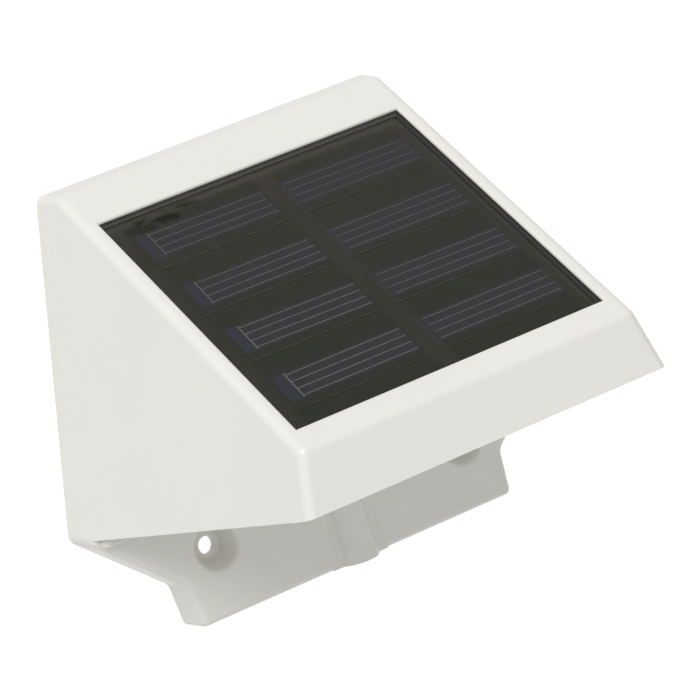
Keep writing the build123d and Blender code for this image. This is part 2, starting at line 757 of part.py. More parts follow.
# Battery door: a plate in the rebate, with a plug that stands in the opening under the cells
with BuildPart() as battery_door:
    with BuildSketch(Plane.XY.offset(COVER_Z)):
        add(door_outline.sketch)
    extrude(amount=DOOR_T)
    with BuildSketch(Plane.XY.offset(DOOR_TOP)):
        with Locations((0, BATTERY_Y)):
            Rectangle(BAY_LENGTH - 2 * PLUG_CLEAR, BAY_WIDTH - 2 * PLUG_CLEAR)
    extrude(amount=PLUG_RISE)
    fillet(battery_door.edges().group_by(Axis.Z)[-1], radius=PLUG_CLEAR)
    with BuildSketch(Plane.XY.offset(COVER_Z)):
        with Locations(*DOOR_SCREWS):
            Circle(INSERT_BORE_R)
    extrude(amount=DOOR_T, mode=Mode.SUBTRACT)

with BuildPart() as door_seal:
    with BuildSketch(Plane.XY.offset(DOOR_TOP)):
        with Locations((0, BATTERY_Y)):
            RectangleRounded(DOOR_X - 2 * SEAL_INSET, DOOR_Y - 2 * SEAL_INSET, DOOR_CORNER_R)
            Rectangle(BAY_LENGTH, BAY_WIDTH, mode=Mode.SUBTRACT)
    extrude(amount=DOOR_SEAL_T)

door_screw = screw(DOOR_SCREW_R, DOOR_SCREW_LENGTH, M3_HEAD_R, M3_HEAD_T)
for (x, y), name in zip(DOOR_SCREWS, ("door_screw_left", "door_screw_right")):
    with BuildPart() as placed_screw:
        with Locations((x, y, COVER_Z)):
            add(door_screw)
    write(placed_screw.part, name)

with BuildPart() as door_inserts:
    with BuildSketch(Plane.XY.offset(RIM_Z)):
        with Locations(*DOOR_SCREWS):
            Circle(INSERT_R)
            Circle(INSERT_BORE_R, mode=Mode.SUBTRACT)
    extrude(amount=INSERT_LENGTH)

write(battery_door.part, "battery_door")
write(door_seal.part, "door_seal")
write(door_inserts.part, "door_inserts")

# Battery box over the opening, open below, with a screw lug at each end
CELL_ROWS_Y = {
    "battery_rear": BATTERY_Y + BATTERY_PITCH / 2,
    "battery_front": BATTERY_Y - BATTERY_PITCH / 2,
}

with BuildPart() as battery_box:
    with BuildSketch(Plane.XY.offset(COVER_TOP)):
        with Locations((0, BATTERY_Y)):
            RectangleRounded(BAY_LENGTH + 2 * BOX_WALL, BAY_WIDTH + 2 * BOX_WALL, BOX_WALL)
    extrude(amount=BAY_HEIGHT + BOX_WALL)
    fillet(battery_box.edges().group_by(Axis.Z)[-1], radius=BOX_WALL / 2)
    with BuildSketch(Plane.XY.offset(COVER_TOP)):
        for x, y in LUGS:
            with Locations((x, y)):
                Circle(LUG_R)
            with Locations((x - (LUG_REACH if x > 0 else -LUG_REACH) / 2, y)):
                Rectangle(LUG_REACH, 2 * LUG_R)
    extrude(amount=LUG_T)
    with BuildSketch(Plane.XY.offset(COVER_TOP)):
        with Locations((0, BATTERY_Y)):
            Rectangle(BAY_LENGTH, BAY_WIDTH)
    extrude(amount=BAY_HEIGHT, mode=Mode.SUBTRACT)
    with BuildSketch(Plane.XY.offset(COVER_TOP)):
        with Locations(*LUGS):
            Circle(M2_R + LEAD_CLEAR)
    extrude(amount=LUG_T, mode=Mode.SUBTRACT)
    with BuildSketch(Plane.YZ.offset(-BAY_LENGTH / 2)):
        with Locations(*[(y, CELL_Z) for y in CELL_ROWS_Y.values()]):
            Circle(LEAD_R + LEAD_CLEAR)
    extrude(amount=-BOX_WALL, mode=Mode.SUBTRACT)

small_screw = screw(M2_R, M2_LENGTH, M2_HEAD_R, M2_HEAD_T)
with BuildPart() as box_screws:
    with Locations(*[Location((x, y, COVER_TOP + LUG_T), (180, 0, 0)) for x, y in LUGS]):
        add(small_screw)

# Contact plates: one for each cell at the left end, and one across both at the right end
with BuildPart() as contact_plates:
    with BuildSketch(Plane.YZ.offset(-BAY_LENGTH / 2)):
        with Locations(*[(y, CELL_Z) for y in CELL_ROWS_Y.values()]):
            Rectangle(PLATE_SIZE, PLATE_SIZE)
    extrude(amount=PLATE_T)
    with BuildSketch(Plane.YZ.offset(PLATE_X)):
        with Locations((BATTERY_Y, CELL_Z)):
            Rectangle(PLATE_SIZE + BATTERY_PITCH, PLATE_SIZE)
    extrude(amount=PLATE_T)

write(battery_box.part, "battery_box")
write(box_screws.part, "box_screws")
write(contact_plates.part, "contact_plates")

# Cells: the rear one has its nub at the right, the front one at the left
for (name, y), side in zip(CELL_ROWS_Y.items(), (1, -1)):
    with BuildPart() as cell:
        with BuildSketch(Plane.YZ.offset(side * (PLATE_X - NUB_LENGTH))):
            with Locations((y, CELL_Z)):
                Circle(CELL_R)
        extrude(amount=-side * BODY_LENGTH)
        fillet(cell.edges().filter_by(GeomType.CIRCLE), radius=CELL_EDGE_R)
        with BuildSketch(Plane.YZ.offset(side * PLATE_X)):
            with Locations((y, CELL_Z)):
                Circle(NUB_R)
        extrude(amount=-side * (NUB_LENGTH + OVERCUT))
    write(cell.part, name)


# Coil spring along X, from a contact plate at x = 0 to the flat end of a cell
SPRING_STUB = 2 * SPRING_WIRE_R
COIL_START = SPRING_STUB + SPRING_ENTRY
COIL_PITCH = (SPRING_LENGTH - 2 * COIL_START) / SPRING_TURNS
QUARTERS = round(4 * SPRING_TURNS)
AXIAL = Vector(1, 0, 0)


def coil_place(quarter, x):
    """Place on the coil's cylinder after a number of quarter turns, at a distance along the axis."""
    angle = quarter * pi / 2
    return Vector(x, SPRING_R * cos(angle), SPRING_R * sin(angle))


def coil_end(quarter):
    """Place and unit tangent of the coil after a number of quarter turns."""
    angle = quarter * pi / 2
    tangent = Vector(COIL_PITCH / (2 * pi * SPRING_R), -sin(angle), cos(angle)).normalized()
    return coil_place(quarter, COIL_START + quarter * COIL_PITCH / 4), tangent


with BuildPart() as spring:
    with BuildLine() as spring_path:
        Line(coil_place(-1, 0), coil_place(-1, SPRING_STUB))
        biarc(coil_place(-1, SPRING_STUB), AXIAL, *coil_end(0))
        for quarter in range(QUARTERS):
            biarc(*coil_end(quarter), *coil_end(quarter + 1))
        biarc(*coil_end(QUARTERS), coil_place(QUARTERS + 1, SPRING_LENGTH - SPRING_STUB), AXIAL)
        Line(coil_place(QUARTERS + 1, SPRING_LENGTH - SPRING_STUB), coil_place(QUARTERS + 1, SPRING_LENGTH))
    with BuildSketch(Plane(origin=coil_place(-1, 0), z_dir=AXIAL)):
        Circle(SPRING_WIRE_R)
    sweep()

samples = [spring_path.wires()[0] @ (i / SPRING_SAMPLES) for i in range(SPRING_SAMPLES + 1)]
half_turn = SPRING_SAMPLES // QUARTERS * 2
print("spring's least gap to itself", least_gap(samples, half_turn, 2 * SPRING_WIRE_R))

with BuildPart() as contact_springs:
    with Locations(
        Location((-PLATE_X, CELL_ROWS_Y["battery_rear"], CELL_Z)),
        Location((PLATE_X, CELL_ROWS_Y["battery_front"], CELL_Z), (0, 0, 180)),
    ):
        add(spring.part)

write(contact_springs.part, "contact_springs")

# Lamp: a ribbed lens in the cover's window, and a reflector and four LEDs behind it
with BuildPart() as lens:
    with BuildSketch(Plane.XY.offset(FLANGE_Z)):
        with Locations((0, LENS_Y)):
            Rectangle(WINDOW_X + 2 * LENS_FLANGE, WINDOW_Y + 2 * LENS_FLANGE)
    extrude(amount=LENS_FLANGE_T)
    with BuildSketch(Plane.XY.offset(COVER_Z - LENS_PROUD)):
        with Locations((0, LENS_Y)):
            Rectangle(WINDOW_X - 2 * LENS_GAP, WINDOW_Y - 2 * LENS_GAP)
    extrude(amount=FLANGE_Z - COVER_Z + LENS_PROUD)
    with BuildSketch(Plane.XY.offset(COVER_Z - LENS_PROUD + LENS_T)):
        with Locations((0, LENS_Y)):
            Rectangle(
                WINDOW_X - 2 * LENS_GAP - 2 * LENS_WALL, WINDOW_Y - 2 * LENS_GAP - 2 * LENS_WALL
            )
    extrude(amount=REFLECTOR_Z - COVER_Z + LENS_PROUD, mode=Mode.SUBTRACT)
    with BuildSketch(Plane.XZ.offset(-LENS_Y)):
        with Locations((0, COVER_Z - LENS_PROUD)):
            with GridLocations(WINDOW_X / LENS_RIBS, 0, LENS_RIBS, 1):
                Circle(LENS_RIB_R)
    extrude(amount=WINDOW_Y / 2 - LENS_RIB_END, both=True)

with BuildPart() as lens_seal:
    with BuildSketch(Plane.XY.offset(COVER_TOP)):
        with Locations((0, LENS_Y)):
            Rectangle(WINDOW_X + 2 * LENS_FLANGE, WINDOW_Y + 2 * LENS_FLANGE)
            Rectangle(WINDOW_X, WINDOW_Y, mode=Mode.SUBTRACT)
    extrude(amount=LENS_SEAL_T)

with BuildPart() as reflector:
    with BuildSketch(Plane.XY.offset(REFLECTOR_Z)):
        with Locations((0, LENS_Y)):
            RectangleRounded(WINDOW_X + 2 * REFLECTOR_WALL, WINDOW_Y + 2 * REFLECTOR_WALL, REFLECTOR_WALL)
    extrude(amount=REFLECTOR_T)
    with Locations((0, LENS_Y, REFLECTOR_Z + REFLECTOR_T / 2)):
        with GridLocations(LED_PITCH, 0, LED_COUNT, 1):
            Cone(BOWL_R, BOWL_THROAT_R, REFLECTOR_T, mode=Mode.SUBTRACT)

with BuildPart() as led_board:
    with BuildSketch(Plane.XY.offset(LED_BOARD_Z)):
        with Locations((0, LENS_Y)):
            Rectangle(LED_BOARD_X, LED_BOARD_Y)
        with Locations(*POSTS):
            Circle(M2_R + LEAD_CLEAR, mode=Mode.SUBTRACT)
    extrude(amount=LED_BOARD_T)

with BuildPart() as led:
    with BuildSketch(Plane.XY):
        Circle(LED_FLANGE_R)
    extrude(amount=-LED_FLANGE_T)
    with BuildSketch(Plane.XY):
        Circle(LED_R)
    extrude(amount=-LED_HEIGHT)
    fillet(led.edges().sort_by(Axis.Z)[0], radius=LED_TIP_R)

with BuildPart() as leds:
    with Locations((0, LENS_Y, LED_BOARD_Z)):
        with GridLocations(LED_PITCH, 0, LED_COUNT, 1):
            add(led.part)

with BuildPart() as led_screws:
    with Locations(*[Location((x, y, LED_BOARD_Z + LED_BOARD_T), (180, 0, 0)) for x, y in POSTS]):
        add(small_screw)

write(lens.part, "lens")
write(lens_seal.part, "lens_seal")
write(reflector.part, "reflector")
write(led_board.part, "led_board")
write(leds.part, "leds")
write(led_screws.part, "led_screws")

# Control board on its standoffs, with a chip, a coil, two capacitors and four terminals
CONTROL_SCREWS = [(side * CONTROL_SCREW_X, CONTROL_CENTRE_Z) for side in SIDES]
pads_y, pads_z = slope_point(PANEL_PADS, GASKET_DEPTH)
bend_y, bend_z = slope_point(PANEL_PADS, GASKET_DEPTH + LEAD_STUB)
TERMINAL_Y = CONTROL_FACE_Y - TERMINAL[2]

with BuildPart() as control_board:
    with BuildSketch(Plane.XZ.offset(-STANDOFF_TIP_Y)):
        with Locations((0, CONTROL_CENTRE_Z)):
            Rectangle(CONTROL_X, CONTROL_Z)
        with Locations(*CONTROL_SCREWS):
            Circle(M2_R + LEAD_CLEAR, mode=Mode.SUBTRACT)
    extrude(amount=CONTROL_T)

with BuildPart() as control_parts:
    with BuildSketch(Plane.XZ.offset(-CONTROL_FACE_Y)):
        with Locations(*[(x, TERMINAL_Z) for x in TERMINAL_XS], (PANEL_TERMINAL_X, bend_z)):
            Rectangle(TERMINAL[0], TERMINAL[1])
    extrude(amount=TERMINAL[2])
    with BuildSketch(Plane.XZ.offset(-CONTROL_FACE_Y)):
        with Locations(CHIP_SITE):
            Rectangle(CHIP[0], CHIP[1])
    extrude(amount=CHIP[2])
    with BuildSketch(Plane.XZ.offset(-CONTROL_FACE_Y)):
        with Locations(COIL_SITE):
            Circle(COIL_R)
    extrude(amount=COIL_HEIGHT)
    with BuildSketch(Plane.XZ.offset(-CONTROL_FACE_Y)):
        with Locations(*CAPACITOR_SITES):
            Circle(CAPACITOR_R)
    extrude(amount=CAPACITOR_HEIGHT)

with BuildPart() as control_screws:
    with Locations(*[Location((x, CONTROL_FACE_Y, z), (-90, 0, 0)) for x, z in CONTROL_SCREWS]):
        add(small_screw)

write(control_board.part, "control_board")
write(control_parts.part, "control_parts")
write(control_screws.part, "control_screws")

# Slide switch on the cover. Its slider is at the near end of the travel, with the knob below the cover
SLIDER_Y = SWITCH_Y - SWITCH_TRAVEL / 2
SHOE_Z = COVER_TOP + SLIDER_RISE

with BuildPart() as switch_body:
    with BuildSketch(Plane.XY.offset(COVER_TOP)):
        with Locations((SWITCH_X, SWITCH_Y)):
            Rectangle(SWITCH_BODY[0], SWITCH_BODY[1])
    extrude(amount=SWITCH_BODY[2])
    with BuildSketch(Plane.XY.offset(COVER_TOP)):
        with Locations((SWITCH_X, SWITCH_Y)):
            Rectangle(SLIDER_SHOE[0] + 2 * SLIDER_GAP, SLIDER_SHOE[1] + SWITCH_TRAVEL + 2 * SLIDER_GAP)
    extrude(amount=SLIDER_RISE + SLIDER_SHOE[2] + SLIDER_GAP, mode=Mode.SUBTRACT)

with BuildPart() as switch_slider:
    with BuildSketch(Plane.XY.offset(SHOE_Z)):
        with Locations((SWITCH_X, SLIDER_Y)):
            Rectangle(SLIDER_SHOE[0], SLIDER_SHOE[1])
    extrude(amount=SLIDER_SHOE[2])
    with BuildSketch(Plane.XY.offset(COVER_Z - SLIDER_PROUD)):
        with Locations((SWITCH_X, SLIDER_Y)):
            Rectangle(SLIDER_W, SLIDER_LENGTH)
    extrude(amount=SHOE_Z - COVER_Z + SLIDER_PROUD)
    with BuildSketch(Plane.XY.offset(COVER_Z - SLIDER_PROUD)):
        with Locations((SWITCH_X, SLIDER_Y)):
            with GridLocations(0, SLIDER_LENGTH / SLIDER_GROOVES, 1, SLIDER_GROOVES):
                Rectangle(SLIDER_W, SLIDER_GROOVE)
    extrude(amount=SLIDER_GROOVE, mode=Mode.SUBTRACT)

write(switch_body.part, "switch_body")
write(switch_slider.part, "switch_slider")

# Leads: each runs from its piece to a terminal of the control board, which it meets squarely
SWITCH_TOP = COVER_TOP + SWITCH_BODY[2]
LED_BOARD_TOP = LED_BOARD_Z + LED_BOARD_T
plate_x = -BAY_LENGTH / 2
half_pitch = LEAD_PITCH / 2
battery_x, lamp_x, switch_x = TERMINAL_XS

routes = {
    "battery_lead_black": [
        (plate_x, CELL_ROWS_Y["battery_rear"], CELL_Z),
        (plate_x - LEAD_STUB, CELL_ROWS_Y["battery_rear"], CELL_Z),
        (-38.5, -25.0, 38.0),
        (-29.0, -27.0, 47.0),
        (battery_x - half_pitch, -22.0, TERMINAL_Z),
        (battery_x - half_pitch, TERMINAL_Y, TERMINAL_Z),
    ],
    "battery_lead_red": [
        (plate_x, CELL_ROWS_Y["battery_front"], CELL_Z),
        (plate_x - LEAD_STUB, CELL_ROWS_Y["battery_front"], CELL_Z),
        (-37.5, -37.0, 38.0),
        (-28.5, -34.5, 47.0),
        (battery_x + half_pitch, -25.0, TERMINAL_Z),
        (battery_x + half_pitch, TERMINAL_Y, TERMINAL_Z),
    ],
    "lamp_lead_red": [
        (lamp_x - half_pitch, -61.0, LED_BOARD_TOP),
        (lamp_x - half_pitch, -61.0, 39.6),
        (-7.5, -50.5, 42.5),
        (-6.0, -37.0, 44.5),
        (lamp_x - half_pitch, -22.5, TERMINAL_Z),
        (lamp_x - half_pitch, TERMINAL_Y, TERMINAL_Z),
    ],
    "lamp_lead_white": [
        (lamp_x + half_pitch, -61.0, LED_BOARD_TOP),
        (lamp_x + half_pitch, -61.0, 40.2),
        (-2.8, -50.0, 43.4),
        (-4.0, -36.0, 45.5),
        (lamp_x + half_pitch, -22.0, TERMINAL_Z),
        (lamp_x + half_pitch, TERMINAL_Y, TERMINAL_Z),
    ],
    "switch_lead_red": [
        (SWITCH_X, SWITCH_Y - half_pitch, SWITCH_TOP),
        (SWITCH_X, SWITCH_Y - half_pitch, 35.0),
        (36.5, -42.0, 41.0),
        (28.5, -30.5, 46.0),
        (switch_x + half_pitch, -22.0, TERMINAL_Z),
        (switch_x + half_pitch, TERMINAL_Y, TERMINAL_Z),
    ],
    "switch_lead_black": [
        (SWITCH_X, SWITCH_Y + half_pitch, SWITCH_TOP),
        (SWITCH_X, SWITCH_Y + half_pitch, 34.0),
        (34.0, -38.5, 38.5),
        (25.0, -28.5, 44.5),
        (switch_x - half_pitch, -23.0, TERMINAL_Z),
        (switch_x - half_pitch, TERMINAL_Y, TERMINAL_Z),
    ],
}
for side, name in zip(SIDES, ("panel_lead_black", "panel_lead_red")):
    x = PANEL_TERMINAL_X + side * half_pitch
    routes[name] = [(x, pads_y, pads_z), (x, bend_y, bend_z), (x, TERMINAL_Y, bend_z)]

for name, points in routes.items():
    radii = corner_radii(points)
    with BuildPart() as lead:
        with BuildLine() as lead_path:
            FilletPolyline(*points, radius=radii)
        with BuildSketch(Plane(origin=lead_path.line @ 0, z_dir=lead_path.line % 0)):
            Circle(LEAD_R)
        sweep()
    shortfall = 1 - lead.part.volume / (pi * LEAD_R**2 * lead_path.wires()[0].length)
    print(name, "radii", [round(radius, 1) for radius in radii], "volume off by", round(shortfall, 5))
    write(lead.part, name)
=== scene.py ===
"""Looks of a solar dock light.

A white moulded wedge stands on a wall tab. It has a solar panel on its slope, and under it a lamp, a
switch and a door over two cells. Lengths are in metres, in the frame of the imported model: +X is to the
right seen from the front, +Y points into the wall and +Z is up.
"""

import logging
import math
from dataclasses import dataclass
from enum import Enum
from typing import Any, Iterable, Mapping, Optional, Sequence, Union

import bmesh
import bpy
from mathutils import Matrix, Vector


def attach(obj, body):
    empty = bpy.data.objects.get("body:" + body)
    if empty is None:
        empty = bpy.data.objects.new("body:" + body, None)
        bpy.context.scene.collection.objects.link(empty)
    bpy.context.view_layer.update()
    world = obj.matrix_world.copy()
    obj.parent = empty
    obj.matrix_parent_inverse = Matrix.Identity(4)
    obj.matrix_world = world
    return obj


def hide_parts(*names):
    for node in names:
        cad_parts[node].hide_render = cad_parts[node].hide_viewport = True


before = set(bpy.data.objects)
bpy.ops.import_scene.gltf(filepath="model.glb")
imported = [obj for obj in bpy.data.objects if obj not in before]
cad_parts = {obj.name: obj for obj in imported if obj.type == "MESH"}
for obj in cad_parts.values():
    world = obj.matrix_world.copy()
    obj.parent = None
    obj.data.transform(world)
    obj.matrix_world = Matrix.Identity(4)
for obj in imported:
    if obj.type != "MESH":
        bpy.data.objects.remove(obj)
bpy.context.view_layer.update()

log = logging.getLogger("dock_light")

MM = 0.001

Colour = tuple[float, float, float]
Point2 = tuple[float, float]
Operand = Union["Wire", float, Colour]


def srgb(red: int, green: int, blue: int) -> Colour:
    """Turns a colour in display values from 0 to 255 into linear values.

    Args:
        red: Red as displayed.
        green: Green as displayed.
        blue: Blue as displayed.

    Returns:
        The linear colour.
    """

    def linear(value: int) -> float:
        """One display value as a linear one."""
        share = value / 255
        return share / 12.92 if share <= 0.04045 else ((share + 0.055) / 1.055) ** 2.4

    return linear(red), linear(green), linear(blue)


def shaded(colour: Colour, factor: float) -> Colour:
    """A colour made darker or lighter by a factor."""
    return colour[0] * factor, colour[1] * factor, colour[2] * factor


class Wire:
    """An output socket of a node. Arithmetic on it adds Math nodes."""

    def __init__(self, desk: "NodeDesk", socket: bpy.types.NodeSocket) -> None:
        """Wraps one socket of the desk's node tree."""
        self.desk = desk
        self.socket = socket

    def sibling(self, name: str) -> "Wire":
        """Another output of the same node."""
        return Wire(self.desk, NodeDesk.find(self.socket.node.outputs, name))

    def __add__(self, other: Operand) -> "Wire":
        """Sum."""
        return self.desk.math("ADD", self, other)

    def __radd__(self, other: Operand) -> "Wire":
        """Sum with the wire on the right."""
        return self.desk.math("ADD", other, self)

    def __sub__(self, other: Operand) -> "Wire":
        """Difference."""
        return self.desk.math("SUBTRACT", self, other)

    def __rsub__(self, other: Operand) -> "Wire":
        """Difference with the wire on the right."""
        return self.desk.math("SUBTRACT", other, self)

    def __mul__(self, other: Operand) -> "Wire":
        """Product."""
        return self.desk.math("MULTIPLY", self, other)

    def __rmul__(self, other: Operand) -> "Wire":
        """Product with the wire on the right."""
        return self.desk.math("MULTIPLY", other, self)

    def __truediv__(self, other: Operand) -> "Wire":
        """Quotient."""
        return self.desk.math("DIVIDE", self, other)


class NodeDesk:
    """Adds the nodes of one material or world."""

    def __init__(self, tree: bpy.types.NodeTree) -> None:
        """Clears the tree and works on it."""
        self.tree = tree
        tree.nodes.clear()

    @staticmethod
    def find(sockets: Iterable[bpy.types.NodeSocket], key: str) -> bpy.types.NodeSocket:
        """Finds a socket by its identifier, or else by its name.

        Args:
            sockets: A node's inputs or outputs.
            key: Identifier or name.

        Returns:
            The socket.
        """
        listed = list(sockets)
        matches = [s for s in listed if s.identifier == key] or [s for s in listed if s.name == key]
        return matches[0]

    def node(
        self,
        kind: str,
        settings: Optional[Mapping[str, Any]] = None,
        sockets: Optional[Mapping[str, Any]] = None,
        out: Optional[str] = None,
    ) -> Wire:
        """Adds a node.

        Args:
            kind: The node's type, without the word ShaderNode in front.
            settings: Properties of the node.
            sockets: Values or wires for the inputs, by name or identifier.
            out: Name of the output that is returned, or the first one.

        Returns:
            The output.
        """
        added = self.tree.nodes.new("ShaderNode" + kind)
        for key, value in (settings or {}).items():
            setattr(added, key, value)
        for key, value in (sockets or {}).items():
            self.plug(self.find(added.inputs, key), value)
        return Wire(self, self.find(added.outputs, out) if out else next(iter(added.outputs), None))

    def plug(self, socket: bpy.types.NodeSocket, value: Any) -> None:
        """Links a wire to a socket, or sets the socket's own value."""
        if isinstance(value, Wire):
            self.tree.links.new(value.socket, socket)
        elif socket.type == "RGBA" and len(value) == 3:
            socket.default_value = (*value, 1.0)
        else:
            socket.default_value = value

    def math(self, operation: str, *operands: Operand) -> Wire:
        """Adds a Math node on one or two operands."""
        return self.node("Math", {"operation": operation}, dict(zip(("Value", "Value_001"), operands)))

    def place(self) -> Wire:
        """The point on the surface, in metres in the model's frame."""
        return self.node("TexCoord", out="Object")

    def dot(self, vector: Wire, axis: Sequence[float]) -> Wire:
        """Length of a vector along an axis."""
        sockets = {"Vector": vector, "Vector_001": tuple(axis)}
        return self.node("VectorMath", {"operation": "DOT_PRODUCT"}, sockets, "Value")

    def axis(self, name: str) -> Wire:
        """One coordinate of the point on the surface, X, Y or Z."""
        return self.node("SeparateXYZ", None, {"Vector": self.place()}, name)

    def stretched(self, factors: Sequence[float]) -> Wire:
        """The point on the surface with each coordinate multiplied by a factor."""
        sockets = {"Vector": self.place(), "Vector_001": tuple(factors)}
        return self.node("VectorMath", {"operation": "MULTIPLY"}, sockets, "Vector")

    def noise(self, grain: float, detail: float = 2.0, vector: Optional[Wire] = None) -> Wire:
        """Noise from 0 to 1.

        Args:
            grain: Size of its features in metres.
            detail: Octaves of finer noise.
            vector: Coordinates, or the point on the surface.

        Returns:
            The noise.
        """
        sockets = {"Vector": vector or self.place(), "Scale": 1 / grain, "Detail": detail}
        return self.node("TexNoise", None, sockets, "Fac")

    def spots(self, pitch: float) -> Wire:
        """Distance to the nearest of scattered points, about pitch metres apart, as a share of it."""
        sockets = {"Vector": self.place(), "Scale": 1 / pitch}
        return self.node("TexVoronoi", None, sockets, "Distance")

    def rise(self, value: Operand, low: float, high: float) -> Wire:
        """A smooth step from 0, where the value is low, to 1, where it is high."""
        sockets = {"Value": value, "From Min": low, "From Max": high}
        return self.node("MapRange", {"interpolation_type": "SMOOTHSTEP"}, sockets, "Result")

    def band(self, value: Wire, low: float, high: float, soft: float) -> Wire:
        """1 where the value is between low and high, with soft ends."""
        return self.rise(value, low - soft, low + soft) * (1 - self.rise(value, high - soft, high + soft))

    def mix(self, factor: Operand, first: Operand, second: Operand) -> Wire:
        """A colour between two colours or coloured wires."""
        settings = {"data_type": "RGBA"}
        sockets = {"Factor_Float": factor, "A_Color": first, "B_Color": second}
        return self.node("Mix", settings, sockets, "Result_Color")

    def bump(self, height: Wire, depth: float, onto: Optional[Wire] = None) -> Wire:
        """A Bump node.

        Args:
            height: Height as a share of the depth.
            depth: Depth of the relief in metres.
            onto: Relief that this one is added to.

        Returns:
            The normal.
        """
        sockets = {"Strength": 1.0, "Distance": depth, "Height": height}
        if onto is not None:
            sockets["Normal"] = onto
        return self.node("Bump", None, sockets)

    def seen(self) -> Wire:
        """1 for rays from the camera, in mirrors and through glass, and 0 for those that only bring light."""
        straight = self.node("LightPath", out="Is Camera Ray")
        mirrored = straight.sibling("Is Glossy Ray")
        through = straight.sibling("Is Transmission Ray")
        return self.math("MAXIMUM", self.math("MAXIMUM", straight, mirrored), through)

    def principled(self, sockets: Mapping[str, Any]) -> Wire:
        """A Principled shader."""
        return self.node("BsdfPrincipled", None, sockets)

    def shader_mix(self, factor: Operand, first: Wire, second: Wire) -> Wire:
        """A Mix Shader."""
        return self.node("MixShader", None, {"Fac": factor, "Shader": first, "Shader_001": second})


@dataclass(frozen=True)
class Finish:
    """What a surface is made of. Each kind of finish says how its shader is built."""

    name: str

    def shader(self, desk: NodeDesk) -> Wire:
        """Builds the finish on the desk and returns its shader."""
        raise NotImplementedError

    def material(self) -> bpy.types.Material:
        """The material, which is made once and then shared."""
        made = bpy.data.materials.get(self.name)
        if made is None:
            made = bpy.data.materials.new(self.name)
            made.use_nodes = True
            desk = NodeDesk(made.node_tree)
            desk.node("OutputMaterial", None, {"Surface": self.shader(desk)})
        return made


@dataclass(frozen=True)
class MouldedPlastic(Finish):
    """Injection-moulded plastic with a faint orange peel, uneven gloss and a few dust specks."""

    colour: Colour
    roughness: float = 0.3
    peel: float = 4.0 * MM
    peel_depth: float = 0.008 * MM
    grain: float = 0.25 * MM
    grain_depth: float = 0.003 * MM
    drift: float = 0.02
    speck: float = 0.08
    coat: float = 0.1
    scatter: float = 0.0

    def shader(self, desk: NodeDesk) -> Wire:
        """Builds the plastic."""
        cloud = desk.noise(30 * MM, 3.0)
        fleck = desk.rise(desk.spots(5 * MM), 0.03, 0.045)
        pale = shaded(self.colour, 1 + self.drift)
        deep = shaded(self.colour, 1 - self.drift)
        dust = desk.math("MULTIPLY", 1 - fleck, self.speck)
        colour = desk.mix(dust, desk.mix(cloud, deep, pale), shaded(self.colour, 0.72))
        gloss = self.roughness + (desk.noise(9 * MM, 4.0) - 0.5) * 0.14
        relief = desk.bump(desk.noise(self.peel, 1.0), self.peel_depth)
        relief = desk.bump(desk.noise(self.grain, 2.0), self.grain_depth, relief)
        return desk.principled(
            {
                "Base Color": colour,
                "Roughness": gloss,
                "Normal": relief,
                "Coat Weight": self.coat,
                "Coat Roughness": 0.12,
                "IOR": 1.5,
                "Subsurface Weight": self.scatter,
                "Subsurface Scale": 0.6 * MM,
            }
        )


@dataclass(frozen=True)
class PrintedRow:
    """Lines printed across one pair of cells, which were laid by hand and so are a little out of square."""

    middle: float
    tilt: float


@dataclass(frozen=True)
class PanelGround:
    """Where things lie on the panel, and the nearly black green and brown that its surfaces share."""

    across: Vector
    along: Vector
    outward: Vector
    start: Vector
    columns: tuple[Point2, ...]
    mottles: tuple[Colour, Colour] = ((0.0155, 0.0178, 0.0104), (0.0200, 0.0192, 0.0126))
    stain_and_shade: Colour = (0.0125, 0.0142, 0.0086)
    beside: Colour = (0.0235, 0.0228, 0.0150)
    brown: Colour = (0.0330, 0.0250, 0.0175)
    top_painted_reflection: Colour = (0.0660, 0.0630, 0.0550)

    def x(self, desk: NodeDesk) -> Wire:
        """Distance to the right of the panel's middle."""
        return desk.dot(desk.place(), self.across)

    def s(self, desk: NodeDesk) -> Wire:
        """Distance down the slope from the bezel's top edge."""
        return desk.dot(desk.place(), self.along) - self.start.dot(self.along)

    def colour(self, desk: NodeDesk) -> Wire:
        """Builds the shared colour: darkest in the columns of cells, browner beside them, with stains and
        painted shade that darken it down the slope, and a painted reflection that makes it palest at the top.

        Args:
            desk: The desk of the material.

        Returns:
            The colour.
        """
        x, s = self.x(desk), self.s(desk)
        mottle = desk.rise(desk.noise(2.2 * MM, 2.0), 0.3, 0.7)
        stain = desk.rise(desk.noise(14 * MM, 3.0), 0.35, 0.7)
        # Painted shade: the colour darkens down the slope, and random stains are mixed in.
        down = desk.rise(s, 15 * MM, 90 * MM)
        colour = desk.mix(down * 0.7 + stain * 0.3, desk.mix(mottle, *self.mottles), self.stain_and_shade)
        column: Operand = 0.0
        for left, right in self.columns:
            column = column + desk.band(x, left, right, 0.4 * MM)
        colour = desk.mix((1 - column) * 0.8, colour, self.beside)
        upper = 1 - desk.rise(s, 17 * MM, 27 * MM)
        colour = desk.mix(upper * (1 - column) * 0.5, colour, self.brown)
        # Painted reflection: the colour is lifted to its palest at the top edge.
        return desk.mix((1 - desk.rise(s, 13 * MM, 17 * MM)) * 0.9, colour, self.top_painted_reflection)


def under_resin(desk: NodeDesk, colour: Wire, relief: Wire, gloss: Operand = 1.0) -> Wire:
    """A dark matt surface bonded under clear resin, whose gloss is the shader's coat.

    Args:
        desk: The desk of the material.
        colour: Colour of the surface.
        relief: Its normal.
        gloss: How much of the resin above it is clean.

    Returns:
        The shader.
    """
    return desk.principled(
        {
            "Base Color": colour,
            "Roughness": 0.6,
            "Normal": relief,
            "Specular IOR Level": 0.04,
            "Coat Weight": gloss,
            "Coat Roughness": 0.05,
            "Coat IOR": 1.22,
        }
    )


